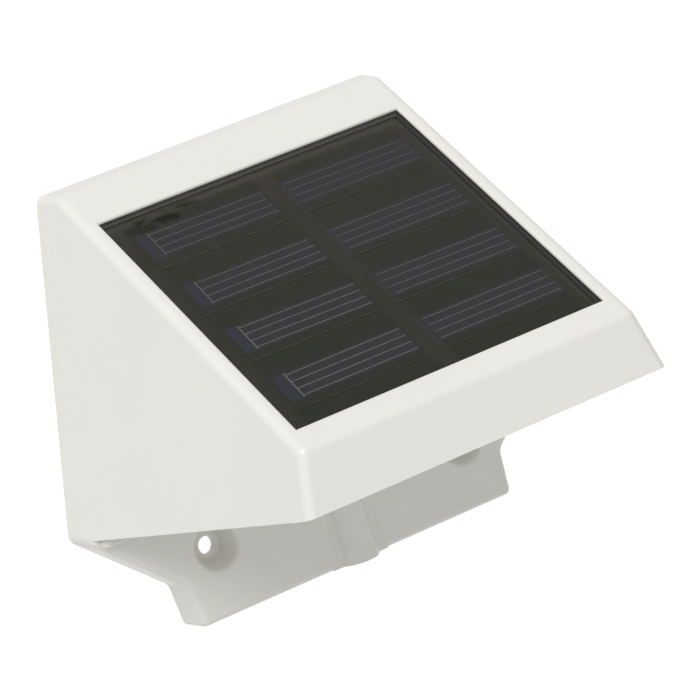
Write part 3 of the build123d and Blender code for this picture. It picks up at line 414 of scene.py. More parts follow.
@dataclass(frozen=True)
class PanelBoard(Finish):
    """Dark board under the cast layer, with a smudge at its top left and a right edge painted paler as a
    reflection.
    """

    ground: PanelGround
    right: float
    smudge_x: Point2 = (-35 * MM, -17 * MM)
    smudge_s: Point2 = (14.5 * MM, 19 * MM)
    smudged: Colour = (0.0040, 0.0055, 0.0030)
    bare_steel_and_painted_reflection: Colour = (0.0400, 0.0395, 0.0350)

    def shader(self, desk: NodeDesk) -> Wire:
        """Builds the board."""
        x, s = self.ground.x(desk), self.ground.s(desk)
        smudge = desk.rise(desk.noise(2.6 * MM, 5.0, desk.stretched((0.6, 1.0, 1.0))), 0.42, 0.56)
        smudge = smudge * desk.band(x, *self.smudge_x, 2 * MM)
        smudge = smudge * desk.band(s, *self.smudge_s, 1.2 * MM)
        colour = desk.mix(smudge * 0.75, self.ground.colour(desk), self.smudged)
        # Painted reflection: the board is painted paler towards its right edge.
        edge = desk.rise(x, self.right - 2.0 * MM, self.right - 0.5 * MM)
        colour = desk.mix(edge, colour, self.bare_steel_and_painted_reflection)
        relief = desk.bump(desk.noise(1.5 * MM, 2.0), 0.01 * MM)
        return under_resin(desk, colour, relief, 1 - smudge * 0.7)


@dataclass(frozen=True)
class CellFace(Finish):
    """Solar cell: violet between the printed lines, bluer beside the bus line, with sawn sides painted pale
    to lift their shade, palest where they face down the slope.
    """

    ground: PanelGround
    rows: tuple[PrintedRow, ...]
    half_band: float
    bus: float
    patch: float
    silicon: tuple[Colour, Colour] = ((0.0208, 0.0196, 0.0240), (0.0236, 0.0222, 0.0272))
    bluer: Colour = (0.0235, 0.0230, 0.0350)
    sawn_and_painted_light: tuple[Colour, Colour] = ((0.1300, 0.1320, 0.1120), (0.2000, 0.2030, 0.1720))

    def shader(self, desk: NodeDesk) -> Wire:
        """Builds the cell's face."""
        x, s = self.ground.x(desk), self.ground.s(desk)
        inside: Operand = 0.0
        for row in self.rows:
            off = desk.math("ABSOLUTE", s - (row.middle + x * row.tilt))
            inside = inside + (1 - desk.rise(off, self.half_band - 0.6 * MM, self.half_band + 0.6 * MM))
        left = self.bus - self.patch
        inside = inside * desk.rise(x, left - 0.3 * MM, left + 0.3 * MM)
        grain = desk.rise(desk.noise(2.5 * MM, 2.0), 0.3, 0.7)
        colour = desk.mix(inside, self.ground.colour(desk), desk.mix(grain, *self.silicon))
        beside = inside * (1 - desk.rise(x, self.bus - 0.3 * MM, self.bus))
        colour = desk.mix(beside * 0.85, colour, self.bluer)
        # Painted light: the sawn side faces are painted paler to make up for their shade, most where they
        # face down the slope.
        facing = desk.node("NewGeometry", out="True Normal")
        sides = desk.mix(desk.rise(desk.dot(facing, self.ground.along), 0.3, 0.9), *self.sawn_and_painted_light)
        colour = desk.mix(desk.rise(desk.dot(facing, self.ground.outward), 0.3, 0.9), sides, colour)
        relief = desk.bump(desk.noise(0.6 * MM, 2.0), 0.004 * MM)
        return under_resin(desk, colour, relief)


@dataclass(frozen=True)
class EdgeSealerAndPaintedShade(Finish):
    """Sealer round the cast layer, dark as a bead on the board, and greyer where it coats the recess's walls.
    Its dark colours are painted shade of the recess.

    Each pair of colours is for the left and right sides, and for the top and bottom ones, painted lit and
    shaded by the side that the light falls on.
    """

    ground: PanelGround
    beads: tuple[Colour, Colour] = ((0.0420, 0.0420, 0.0385), (0.0800, 0.0790, 0.0720))
    walls: tuple[Colour, Colour] = ((0.0680, 0.0680, 0.0640), (0.1350, 0.1350, 0.1260))
    fleck: Colour = (0.0300, 0.0300, 0.0270)

    def shader(self, desk: NodeDesk) -> Wire:
        """Builds the sealer."""
        grain = desk.noise(0.8 * MM, 2.0)
        facing = desk.node("NewGeometry", out="True Normal")
        level = desk.math("ABSOLUTE", desk.dot(facing, self.ground.outward))
        ends = desk.math("ABSOLUTE", desk.dot(facing, self.ground.along))
        # Painted light and shade: each side gets its own colour by how the light falls on it, and the dark
        # colours stand in for the recess's shade.
        wall = desk.mix(desk.rise(ends, 0.5, 0.9), *self.walls)
        bead = desk.mix(desk.rise(ends, 0.1, 0.3), *self.beads)
        colour = desk.mix(desk.rise(level, 0.2, 0.6), wall, bead)
        colour = desk.mix(grain * 0.2, colour, self.fleck)
        return under_resin(desk, colour, desk.bump(grain, 0.004 * MM), 0.4 + 0.1 * grain)


@dataclass(frozen=True)
class PrintedSilver(Finish):
    """Dull printed lines, paler down the slope and on the left cells."""

    ground: PanelGround
    colour: Colour

    def shader(self, desk: NodeDesk) -> Wire:
        """Builds the print."""
        grain = desk.noise(0.3 * MM, 3.0)
        down = desk.rise(self.ground.s(desk), 20 * MM, 80 * MM)
        colour = desk.mix(down, shaded(self.colour, 0.72), shaded(self.colour, 1.12))
        right = desk.rise(self.ground.x(desk), -1 * MM, 2 * MM)
        colour = desk.mix(right * 0.45, colour, shaded(self.colour, 0.45))
        return desk.principled(
            {
                "Base Color": desk.mix(grain * 0.3, colour, shaded(self.colour, 0.6)),
                "Metallic": 1.0,
                "Roughness": 0.5 + 0.1 * grain,
                "Normal": desk.bump(grain, 0.001 * MM),
            }
        )


@dataclass(frozen=True)
class CastResin(Finish):
    """Clear resin with a few dust specks. What lies bonded under it carries its gloss."""

    dust: float = 0.3

    def shader(self, desk: NodeDesk) -> Wire:
        """Builds the resin."""
        speck = (1 - desk.rise(desk.spots(8 * MM), 0.008, 0.014)) * self.dust
        through = desk.node("BsdfTransparent", None, {"Color": (1.0, 1.0, 1.0)})
        grit = desk.principled({"Base Color": (0.6, 0.6, 0.57), "Roughness": 0.8})
        return desk.shader_mix(speck, through, grit)


@dataclass(frozen=True)
class FrostedLens(Finish):
    """Milky moulded lens, etched on the inside."""

    colour: Colour
    haze: float = 0.75

    def shader(self, desk: NodeDesk) -> Wire:
        """Builds the lens."""
        cloud = desk.noise(14 * MM, 3.0)
        relief = desk.bump(desk.noise(0.35 * MM, 3.0), 0.01 * MM)
        body = desk.principled(
            {
                "Base Color": desk.mix(cloud, shaded(self.colour, 0.94), self.colour),
                "Roughness": 0.28 + 0.1 * desk.noise(2 * MM, 3.0),
                "Normal": relief,
                "Subsurface Weight": 0.3,
                "Subsurface Scale": 2 * MM,
            }
        )
        through = desk.node("BsdfTransparent", None, {"Color": shaded(self.colour, 1.05)})
        return desk.shader_mix(self.haze + 0.1 * (cloud - 0.5), through, body)


class Brushing(Enum):
    """Direction in which a metal's fine lines run."""

    ALONG_Z = (1.0, 1.0, 0.06)
    NONE = (1.0, 1.0, 1.0)


@dataclass(frozen=True)
class Metal(Finish):
    """Plated or bare metal with fine lines, stains and uneven gloss."""

    colour: Colour
    roughness: float = 0.28
    brushing: Brushing = Brushing.NONE
    line: float = 0.12 * MM
    line_depth: float = 0.004 * MM
    stain: float = 0.25

    def shader(self, desk: NodeDesk) -> Wire:
        """Builds the metal."""
        lines = desk.noise(self.line, 3.0, desk.stretched(self.brushing.value))
        blot = desk.rise(desk.noise(2.2 * MM, 4.0), 0.45, 0.75)
        colour = desk.mix(blot * self.stain, self.colour, shaded(self.colour, 0.55))
        return desk.principled(
            {
                "Base Color": colour,
                "Metallic": 1.0,
                "Roughness": self.roughness + 0.12 * blot + 0.1 * (lines - 0.5),
                "Normal": desk.bump(lines, self.line_depth),
            }
        )


@dataclass(frozen=True)
class Rubber(Finish):
    """Matt elastic sheet. Open foam has pores, solid rubber only a fine bloom."""

    colour: Colour
    pore: float = 0.5 * MM
    pore_depth: float = 0.03 * MM
    roughness: float = 0.75

    def shader(self, desk: NodeDesk) -> Wire:
        """Builds the rubber."""
        pores = desk.rise(desk.spots(self.pore), 0.1, 0.55)
        bloom = desk.noise(4 * MM, 4.0)
        colour = desk.mix(bloom * 0.5, self.colour, shaded(self.colour, 1.5))
        # The pores' colour is painted darker: painted shade in them.
        return desk.principled(
            {
                "Base Color": desk.mix(pores, shaded(self.colour, 0.6), colour),
                "Roughness": self.roughness + 0.15 * (bloom - 0.5),
                "Normal": desk.bump(pores, self.pore_depth),
                "Specular IOR Level": 0.3,
            }
        )


@dataclass(frozen=True)
class CircuitBoard(Finish):
    """Laminated board: lacquer over raised copper tracks on a square grid, with a woven core."""

    colour: Colour
    track_colour: Colour
    first_axis: str
    second_axis: str
    pitch: float = 2.0 * MM
    roughness: float = 0.35

    def shader(self, desk: NodeDesk) -> Wire:
        """Builds the board."""
        cell = 2 * self.pitch
        across = desk.math("PINGPONG", desk.axis(self.first_axis), self.pitch) / self.pitch
        along = desk.math("PINGPONG", desk.axis(self.second_axis), self.pitch) / self.pitch
        choice = desk.rise(desk.noise(3 * cell, 0.0), 0.47, 0.53)
        track = desk.band(across, 0.35, 0.62, 0.05) * choice
        track = track + desk.band(along, 0.35, 0.62, 0.05) * (1 - choice)
        weave = desk.noise(0.3 * MM, 2.0, desk.stretched((1.0, 0.2, 1.0)))
        relief = desk.bump(track, 0.03 * MM)
        relief = desk.bump(weave, 0.005 * MM, relief)
        lacquer = desk.mix(weave * 0.4, self.colour, shaded(self.colour, 0.75))
        return desk.principled(
            {
                "Base Color": desk.mix(track * 0.8, lacquer, self.track_colour),
                "Roughness": self.roughness + 0.1 * (weave - 0.5),
                "Normal": relief,
                "Coat Weight": 0.3,
                "Coat Roughness": 0.15,
            }
        )


@dataclass(frozen=True)
class CellWrap(Finish):
    """Battery: bare steel ends and a printed sleeve in two plain colours, the paler one at its nub."""

    sleeve: Colour
    ring: Colour
    nub_side: int
    body_end: float
    split: float

    def shader(self, desk: NodeDesk) -> Wire:
        """Builds the battery's skin."""
        x = desk.axis("X") * float(self.nub_side)
        ring = desk.rise(x, self.split - 0.05 * MM, self.split + 0.05 * MM)
        bare_steel_and_painted_reflection = desk.rise(x, self.body_end - 0.05 * MM, self.body_end + 0.05 * MM)
        scuff = desk.rise(desk.noise(1.2 * MM, 5.0, desk.stretched((0.25, 1.0, 1.0))), 0.6, 0.8)
        colour = desk.mix(ring, self.sleeve, self.ring)
        colour = desk.mix(scuff * 0.3, colour, (0.30, 0.30, 0.29))
        colour = desk.mix(bare_steel_and_painted_reflection, colour, (0.55, 0.54, 0.52))
        return desk.principled(
            {
                "Base Color": colour,
                "Metallic": 0.25 + 0.75 * bare_steel_and_painted_reflection,
                "Roughness": 0.3 + 0.2 * scuff,
                "Normal": desk.bump(desk.noise(1.5 * MM, 3.0), 0.01 * MM),
            }
        )


@dataclass(frozen=True)
class LeadSheath(Finish):
    """Soft sheath of a thin lead, with a dull skin and slight ripples."""

    colour: Colour

    def shader(self, desk: NodeDesk) -> Wire:
        """Builds the sheath."""
        ripple = desk.noise(1.6 * MM, 3.0)
        colour = desk.mix(ripple, shaded(self.colour, 0.85), shaded(self.colour, 1.1))
        return desk.principled(
            {
                "Base Color": colour,
                "Roughness": 0.42 + 0.12 * (ripple - 0.5),
                "Normal": desk.bump(ripple, 0.02 * MM),
            }
        )


@dataclass(frozen=True)
class LampEpoxy(Finish):
    """Clear dome of a light-emitting diode, faintly yellow over its phosphor."""

    colour: Colour

    def shader(self, desk: NodeDesk) -> Wire:
        """Builds the dome."""
        swirl = desk.noise(1.5 * MM, 2.0)
        body = desk.principled(
            {
                "Base Color": desk.mix(swirl, self.colour, shaded(self.colour, 0.9)),
                "Roughness": 0.08 + 0.05 * swirl,
                "Coat Weight": 0.5,
                "Coat Roughness": 0.03,
            }
        )
        through = desk.node("BsdfTransparent", None, {"Color": (0.98, 0.98, 0.95)})
        return desk.shader_mix(0.3 + 0.1 * swirl, through, body)


WHITE = MouldedPlastic("moulded_white", srgb(233, 232, 225), roughness=0.34, scatter=0.06)
WHITE_SATIN = MouldedPlastic(
    "moulded_white_satin", srgb(230, 229, 221), roughness=0.42, grain_depth=0.006 * MM, coat=0.05
)
BLACK = MouldedPlastic(
    "moulded_black", srgb(38, 38, 40), roughness=0.42, grain_depth=0.006 * MM, drift=0.1, coat=0.05
)
COMPONENT = MouldedPlastic(
    "component_epoxy", srgb(44, 43, 46), roughness=0.5, grain_depth=0.008 * MM, drift=0.12, coat=0.0
)
STEEL = Metal("stainless_steel", (0.60, 0.59, 0.57), 0.26, Brushing.NONE)
NICKEL = Metal("nickel_plate", (0.58, 0.55, 0.50), 0.22, Brushing.ALONG_Z)
BRASS = Metal("brass_turned", (0.72, 0.50, 0.20), 0.28, Brushing.ALONG_Z)
SOLDER = Metal("solder", (0.62, 0.62, 0.60), 0.2, line_depth=0.002 * MM)
COPPER = Metal("copper_winding", (0.70, 0.33, 0.17), 0.3, stain=0.4)
MIRROR = Metal("bright_coating", (0.86, 0.86, 0.85), 0.1, stain=0.08, line_depth=0.001 * MM)
FOAM = Rubber("black_foam", srgb(46, 46, 48), pore=0.6 * MM, pore_depth=0.08 * MM, roughness=0.85)
SEAL = Rubber("seal_rubber", srgb(58, 58, 60), pore=0.3 * MM, pore_depth=0.01 * MM, roughness=0.6)
GREEN_BOARD = CircuitBoard("green_board", srgb(28, 92, 58), srgb(46, 122, 70), "X", "Z")
WHITE_BOARD = CircuitBoard("white_board", srgb(222, 222, 216), srgb(206, 206, 198), "X", "Y")
PHOSPHOR = MouldedPlastic("phosphor", srgb(238, 206, 84), roughness=0.6, coat=0.0)


def dress(node: str, finish: Finish) -> None:
    """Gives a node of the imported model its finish.

    Args:
        node: The node's name.
        finish: What it is made of.
    """
    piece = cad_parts[node]
    material = finish.material()
    for place in piece.material_slots:
        place.material = material
    if not piece.material_slots:
        piece.data.materials.append(material)
    log.info("%s is dressed in %s", node, finish.name)


@dataclass(frozen=True)
class Placement:
    """A place with three axes, in which the points of a piece are laid out."""

    origin: Vector
    across: Vector
    along: Vector
    up: Vector

    def at(self, x: float, y: float, z: float = 0.0) -> Vector:
        """The point at these distances along the three axes."""
        return self.origin + self.across * x + self.along * y + self.up * z

    def moved(self, x: float, y: float, z: float = 0.0) -> "Placement":
        """The same axes at another point."""
        return Placement(self.at(x, y, z), self.across, self.along, self.up)


LEVEL = Placement(Vector(), Vector((1, 0, 0)), Vector((0, 1, 0)), Vector((0, 0, 1)))


class Mould:
    """Collects closed forms into one mesh and makes a piece of them."""

    def __init__(self, name: str, body: str, slot: str) -> None:
        """Starts a piece.

        Args:
            name: The piece's name.
            body: The body that it rides on.
            slot: Name of a material slot; it is not used.
        """
        self.name = name
        self.body = body
        self.slot = slot
        self.mesh = bmesh.new()

    def loft(
        self, place: Placement, sections: Sequence[tuple[Sequence[Point2], float]], finish: int = 0
    ) -> None:
        """Adds a closed form through a stack of outlines with equal numbers of points.

        Args:
            place: Where the outlines lie. Each is level in it.
            sections: Outlines and their heights, from the bottom up.
            finish: Number of the piece's finish that the form takes.
        """
        rings = [[self.mesh.verts.new(place.at(x, y, z)) for x, y in outline] for outline, z in sections]
        count = len(rings[0])
        made = [self.mesh.faces.new(rings[0]), self.mesh.faces.new(rings[-1])]
        for low, high in zip(rings, rings[1:]):
            for i in range(count):
                j = (i + 1) % count
                made.append(self.mesh.faces.new((low[i], low[j], high[j], high[i])))
        for face in made:
            face.material_index = finish
        bmesh.ops.recalc_face_normals(self.mesh, faces=made)

    def piece(self, *finishes: Finish, smooth: float = 40.0) -> bpy.types.Object:
        """Makes the piece from the forms added so far.

        Args:
            finishes: The piece's finishes, in the order of their numbers.
            smooth: Faces that meet at less than this angle in degrees are shaded as one.

        Returns:
            The piece, on its body.
        """
        data = bpy.data.meshes.new(self.name)
        for face in self.mesh.faces:
            face.smooth = True
        for edge in self.mesh.edges:
            turn = edge.calc_face_angle(math.pi)
            edge.smooth = turn < math.radians(smooth)
        self.mesh.to_mesh(data)
        self.mesh.free()
        made = bpy.data.objects.new(self.name, data)
        bpy.context.scene.collection.objects.link(made)
        for finish in finishes:
            data.materials.append(finish.material())
        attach(made, self.body)
        log.info("%s has %d faces", self.name, len(data.polygons))
        return made


def circle(radius: float, steps: int = 16) -> list[Point2]:
    """Points of a circle."""
    turns = [2 * math.pi * i / steps for i in range(steps)]
    return [(radius * math.cos(a), radius * math.sin(a)) for a in turns]


def rounded(width: float, depth: float, radius: float, steps: int = 3) -> list[Point2]:
    """Points of a rectangle with rounded corners.

    Args:
        width: Size along x.
        depth: Size along y.
        radius: Radius of the corners.
        steps: Runs that each corner is divided into.

    Returns:
        The points, anticlockwise.
    """
    corners = ((1, 1, 0), (-1, 1, 90), (-1, -1, 180), (1, -1, 270))
    points = []
    for side_x, side_y, start in corners:
        for i in range(steps + 1):
            turn = math.radians(start + 90 * i / steps)
            x = side_x * (width / 2 - radius) + radius * math.cos(turn)
            y = side_y * (depth / 2 - radius) + radius * math.sin(turn)
            points.append((x, y))
    return points


@dataclass
class Housing:
    """White wedge with its wall tab."""

    def build(self) -> None:
        """Dresses the housing."""
        dress("housing", WHITE)


@dataclass
class SolarPanel:
    """Panel in the slope: a cast layer over eight cells with printed lines, on a board bedded in foam."""

    body: str = "light"
    bezel_top: tuple[float, float, float] = (0.0, -7.8 * MM, 87.679 * MM)
    slope: float = 36.0
    start: float = 13.0 * MM
    size: float = 80.0 * MM
    sunk: float = 0.6 * MM
    cast: float = 1.2 * MM
    columns: tuple[Point2, ...] = ((-36.3 * MM, -1.4 * MM), (3.4 * MM, 36.4 * MM))
    rows: tuple[PrintedRow, ...] = (
        PrintedRow(24.56 * MM, 0.0158),
        PrintedRow(43.96 * MM, 0.0067),
        PrintedRow(62.10 * MM, 0.0208),
        PrintedRow(79.88 * MM, 0.0025),
    )
    line_pitch: float = 2.45 * MM
    lines: int = 4
    line_width: float = 0.17 * MM
    line_height: float = 0.02 * MM
    bus_x: float = -31.9 * MM
    patch: float = 3.2 * MM
    left_end: float = -2.3 * MM
    right_start: float = 3.6 * MM
    right_end: float = 36.0 * MM
    silver: Colour = (0.17, 0.165, 0.15)
    arch: tuple[Point2, ...] = ((1.0, 0.0), (0.85, 0.6), (0.45, 1.0))
    bus_share: float = 1.2
    bus_above: float = 0.7 * MM
    bus_below: float = 0.5 * MM
    bus_lean: float = 0.1 * MM
    band_spare: float = 0.9 * MM
    rim: float = 0.12 * MM
    rim_steps: int = 3
    fill: float = 0.25 * MM
    bead: float = 0.4 * MM
    sealed_and_shaded: Point2 = (-0.97, 0.1)

    def place(self) -> Placement:
        """Axes on the bezel: across, down the slope and out of it, from the middle of its top edge."""
        turn = math.radians(self.slope)
        down = Vector((0, -math.cos(turn), -math.sin(turn)))
        out = Vector((0, -math.sin(turn), math.cos(turn)))
        return Placement(Vector(self.bezel_top), Vector((1, 0, 0)), down, out)

    def build(self) -> None:
        """Dresses the board, cells and foam, and makes the lines and the cast layer."""
        place = self.place()
        ground = PanelGround(place.across, place.along, place.up, place.origin, self.columns)
        board = PanelBoard("panel_board_mottled", ground, self.size / 2)
        half_band = (self.lines - 1) / 2 * self.line_pitch + self.band_spare
        cells = CellFace("cell_silicon", ground, self.rows, half_band, self.bus_x, self.patch)
        dress("panel_board", board)
        dress("solar_cells", cells)
        dress("panel_gasket", FOAM)
        self.printed_lines(place, PrintedSilver("printed_silver", ground, self.silver))
        self.cast_layer(place, EdgeSealerAndPaintedShade("edge_sealer_painted_shade", ground))

    def ridge(self, mould: Mould, place: Placement, start: Point2, end: Point2, width: float) -> None:
        """Adds a low printed line with an arched section between two places on the cells."""
        across = Vector((end[0] - start[0], end[1] - start[1]))
        side = Vector((-across.y, across.x)).normalized() * width / 2
        outlines = []
        for share, level in self.arch:
            outline = [
                (start[0] + side.x * share, start[1] + side.y * share),
                (end[0] + side.x * share, end[1] + side.y * share),
                (end[0] - side.x * share, end[1] - side.y * share),
                (start[0] - side.x * share, start[1] - side.y * share),
            ]
            outlines.append((outline, level * self.line_height))
        mould.loft(place, outlines)

    def printed_lines(self, place: Placement, silver: Finish) -> None:
        """Makes the finger lines of each cell and the bus lines of the left ones.

        Args:
            place: Axes on the bezel.
            silver: Finish of the lines.
        """
        mould = Mould("cell_lines", self.body, "silicon")
        top = place.moved(0, 0, -(self.sunk + self.cast))
        half = (self.lines - 1) / 2 * self.line_pitch
        runs = (self.bus_x, self.left_end), (self.right_start, self.right_end)
        for row in self.rows:
            for line in range(self.lines):
                s = row.middle - half + line * self.line_pitch
                for start, end in runs:
                    ends = (start, s + row.tilt * start), (end, s + row.tilt * end)
                    self.ridge(mould, top, *ends, self.line_width)
            s = row.middle + row.tilt * self.bus_x
            bus_top = self.bus_x, s - half - self.bus_above
            bus_foot = self.bus_x - self.bus_lean, s + half + self.bus_below
            self.ridge(mould, top, bus_top, bus_foot, self.line_width * self.bus_share)
        mould.piece(silver)

    def cast_layer(self, place: Placement, sealer_and_shade: Finish) -> None:
        """Makes the clear layer that fills the recess to its walls.

        Its underside stays just off the cells' lines, and faces that lean outwards from it are sealer,
        painted dark as shade.

        Args:
            place: Axes on the bezel.
            sealer_and_shade: Finish of the bead at its sides, which covers the board's edge and is painted
                dark as shade.
        """
        mould = Mould("panel_cast_layer", self.body, "clear_resin")
        middle = place.moved(0, self.start + self.size / 2)
        sink = self.line_height * 1.5
        full = self.size + 2 * self.fill
        bed = -(self.sunk + self.cast) + sink
        inner = self.size - 2 * self.bead
        sections = [(rounded(inner, inner, self.rim), bed), (rounded(full, full, self.rim), bed + self.fill)]
        for i in range(self.rim_steps + 1):
            turn = math.radians(90 * i / self.rim_steps)
            side = full - 2 * self.rim * (1 - math.cos(turn))
            sections.append((rounded(side, side, self.rim), -self.sunk - self.rim * (1 - math.sin(turn))))
        mould.loft(middle, sections)
        piece = mould.piece(CastResin("cast_resin"), sealer_and_shade)
        # Faces that lean outwards take the sealer finish, whose dark colours are painted shade.
        low, high = self.sealed_and_shaded
        for face in piece.data.polygons:
            if low < face.normal.dot(place.up) < high:
                face.material_index = 1
        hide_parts("panel_cover")


@dataclass
class BottomCover:
    """Cover under the wedge, with its seal and screws."""

    def build(self) -> None:
        """Dresses the cover."""
        dress("bottom_cover", WHITE_SATIN)
        dress("cover_seal", SEAL)
        dress("cover_screws", STEEL)


@dataclass
class BatteryBay:
    """Battery box with its door, two cells and their contacts."""

    plate_x: float = 29.1 * MM
    nub: float = 1.1 * MM
    ring_length: float = 13.0 * MM
    bare_end: float = 0.5 * MM
    sleeve: Colour = srgb(44, 62, 74)
    ring: Colour = srgb(196, 142, 78)

    def wrap(self, name: str, side: int) -> CellWrap:
        """Skin of a cell whose nub is at one side.

        Args:
            name: The finish's name.
            side: 1 where the nub is at the right, -1 where it is at the left.

        Returns:
            The finish.
        """
        end = self.plate_x - self.nub
        return CellWrap(name, self.sleeve, self.ring, side, end - self.bare_end, end - self.ring_length)

    def build(self) -> None:
        """Dresses the bay."""
        dress("battery_door", WHITE_SATIN)
        dress("door_seal", SEAL)
        dress("door_screw_left", STEEL)
        dress("door_screw_right", STEEL)
        dress("door_inserts", BRASS)
        dress("battery_box", BLACK)
        dress("box_screws", STEEL)
        dress("contact_plates", NICKEL)
        dress("contact_springs", NICKEL)
        dress("battery_rear", self.wrap("cell_wrap_rear", 1))
        dress("battery_front", self.wrap("cell_wrap_front", -1))


@dataclass
class Lamp:
    """Four diodes on a board behind a reflector and a frosted lens."""

    body: str = "light"
    y: float = -66.0 * MM
    board_z: float = 29.6 * MM
    pitch: float = 13.8 * MM
    count: int = 4
    cup_r: float = 1.5 * MM
    bowl_r: float = 0.9 * MM
    cup_foot: float = -0.4 * MM
    cup_rim: float = -1.6 * MM
    bowl_floor: float = -1.2 * MM
    pad_size: float = 0.9 * MM
    pad_corner: float = 0.15 * MM
    pad_face: float = -1.45 * MM

    def build(self) -> None:
        """Dresses the lamp and makes the diodes' cups."""
        dress("lens", FrostedLens("frosted_lens", srgb(236, 238, 238)))
        dress("lens_seal", SEAL)
        dress("reflector", MIRROR)
        dress("led_board", WHITE_BOARD)
        dress("leds", LampEpoxy("lamp_epoxy", srgb(240, 240, 226)))
        dress("led_screws", STEEL)
        self.cups()

    def cups(self) -> None:
        """Makes the metal cup and the phosphor pad inside each diode."""
        mould = Mould("diode_cups", self.body, "nickel")
        for i in range(self.count):
            x = (i - (self.count - 1) / 2) * self.pitch
            place = LEVEL.moved(x, self.y, self.board_z)
            wall = circle(self.cup_r)
            bowl = circle(self.bowl_r), self.bowl_floor
            mould.loft(place, [(wall, self.cup_foot), (wall, self.cup_rim), bowl])
            pad = rounded(self.pad_size, self.pad_size, self.pad_corner)
            mould.loft(place, [(pad, self.bowl_floor), (pad, self.pad_face)], 1)
        mould.piece(NICKEL, PHOSPHOR)


@dataclass
class ControlBoard:
    """Charging board on the back wall, with the small metal parts of its components."""

    body: str = "light"
    face_y: float = -8.1 * MM
    terminal_z: float = 51.0 * MM
    terminal_xs: tuple[float, ...] = (-17.0 * MM, -5.0 * MM, 17.0 * MM)
    chip: Point2 = (-9.0 * MM, 61.0 * MM)
    chip_size: Point2 = (8.0 * MM, 6.0 * MM)
    legs: int = 5
    leg_corner: float = 0.1 * MM
    leg_foot: Point2 = (0.45 * MM, 1.2 * MM)
    leg_toe: Point2 = (0.35 * MM, 0.9 * MM)
    leg_heights: tuple[float, float, float] = (-0.02 * MM, 0.25 * MM, 0.6 * MM)
    solder: tuple[Point2, ...] = ((0.9 * MM, -0.02 * MM), (0.7 * MM, 0.25 * MM), (0.3 * MM, 0.7 * MM))
    coil: Point2 = (13.5 * MM, 66.5 * MM)
    coil_r: float = 3.4 * MM
    coil_height: float = 3.2 * MM
    coil_turns: int = 7

    def place(self) -> Placement:
        """Axes on the board's front face: across, up and out of it."""
        face = Vector((0, self.face_y, 0))
        return Placement(face, Vector((1, 0, 0)), Vector((0, 0, 1)), Vector((0, -1, 0)))

    def build(self) -> None:
        """Dresses the board and makes its metal parts."""
        dress("control_board", GREEN_BOARD)
        dress("control_parts", COMPONENT)
        dress("control_screws", STEEL)
        self.chip_legs()
        self.windings()

    def chip_legs(self) -> None:
        """Makes the legs at both long sides of the chip, and a drop of solder on each terminal's foot."""
        mould = Mould("board_solder", self.body, "nickel")
        place = self.place()
        width, depth = self.chip_size
        pitch = width / self.legs
        foot = rounded(*self.leg_foot, self.leg_corner, 2)
        toe = rounded(*self.leg_toe, self.leg_corner, 2)
        leg = list(zip((foot, foot, toe), self.leg_heights))
        for side in (-1, 1):
            for i in range(self.legs):
                x = self.chip[0] + (i - (self.legs - 1) / 2) * pitch
                y = self.chip[1] + side * (depth / 2 + 0.5 * MM)
                mould.loft(place.moved(x, y), leg)
        for x in self.terminal_xs:
            for side in (-1, 1):
                spot = place.moved(x + side * 1.5 * MM, self.terminal_z - 3.0 * MM)
                mould.loft(spot, [(circle(radius, 12), height) for radius, height in self.solder])
        mould.piece(SOLDER)

    def windings(self) -> None:
        """Makes the copper turns round the coil's core."""
        mould = Mould("coil_turns", self.body, "brass")
        place = self.place().moved(*self.coil)
        wire = self.coil_height / (self.coil_turns + 1) / 2
        for turn in range(self.coil_turns):
            z = self.coil_height * (turn + 1) / (self.coil_turns + 1)
            sections = []
            for share in (-1.0, -0.5, 0.5, 1.0):
                bulge = wire * 0.9 * math.cos(share * math.pi / 2)
                sections.append((circle(self.coil_r + 0.02 * MM + bulge, 24), z + share * wire))
            mould.loft(place, sections)
        mould.piece(COPPER)


@dataclass
class Switch:
    """Slide switch, whose knob stands out under the cover."""

    def build(self) -> None:
        """Dresses the switch."""
        dress("switch_body", BLACK)
        dress("switch_slider", BLACK)


@dataclass
class Leads:
    """Eight thin leads between the panel, cells, switch, lamp and control board."""

    red: Colour = srgb(176, 32, 30)
    black: Colour = srgb(34, 34, 36)
    white: Colour = srgb(214, 213, 206)

    def build(self) -> None:
        """Dresses each lead in its sheath."""
        sheaths = {
            "red": LeadSheath("sheath_red", self.red),
            "black": LeadSheath("sheath_black", self.black),
            "white": LeadSheath("sheath_white", self.white),
        }
        for owner in ("panel", "battery", "switch"):
            for shade in ("red", "black"):
                dress(f"{owner}_lead_{shade}", sheaths[shade])
        for shade in ("red", "white"):
            dress(f"lamp_lead_{shade}", sheaths[shade])


@dataclass(frozen=True)
class StudioFloor(Finish):
    """Plain pale floor. Its lower side lets the camera look through from below."""

    colour: Colour
    lift: float

    def shader(self, desk: NodeDesk) -> Wire:
        """Builds the floor."""
        matt = desk.node("BsdfDiffuse", None, {"Color": self.colour})
        glow = desk.node("Emission", None, {"Color": (1.0, 1.0, 1.0), "Strength": desk.seen() * self.lift})
        upper = desk.node("AddShader", None, {"Shader": matt, "Shader_001": glow})
        below = desk.node("NewGeometry", out="Backfacing")
        return desk.shader_mix(below, upper, desk.node("BsdfTransparent"))


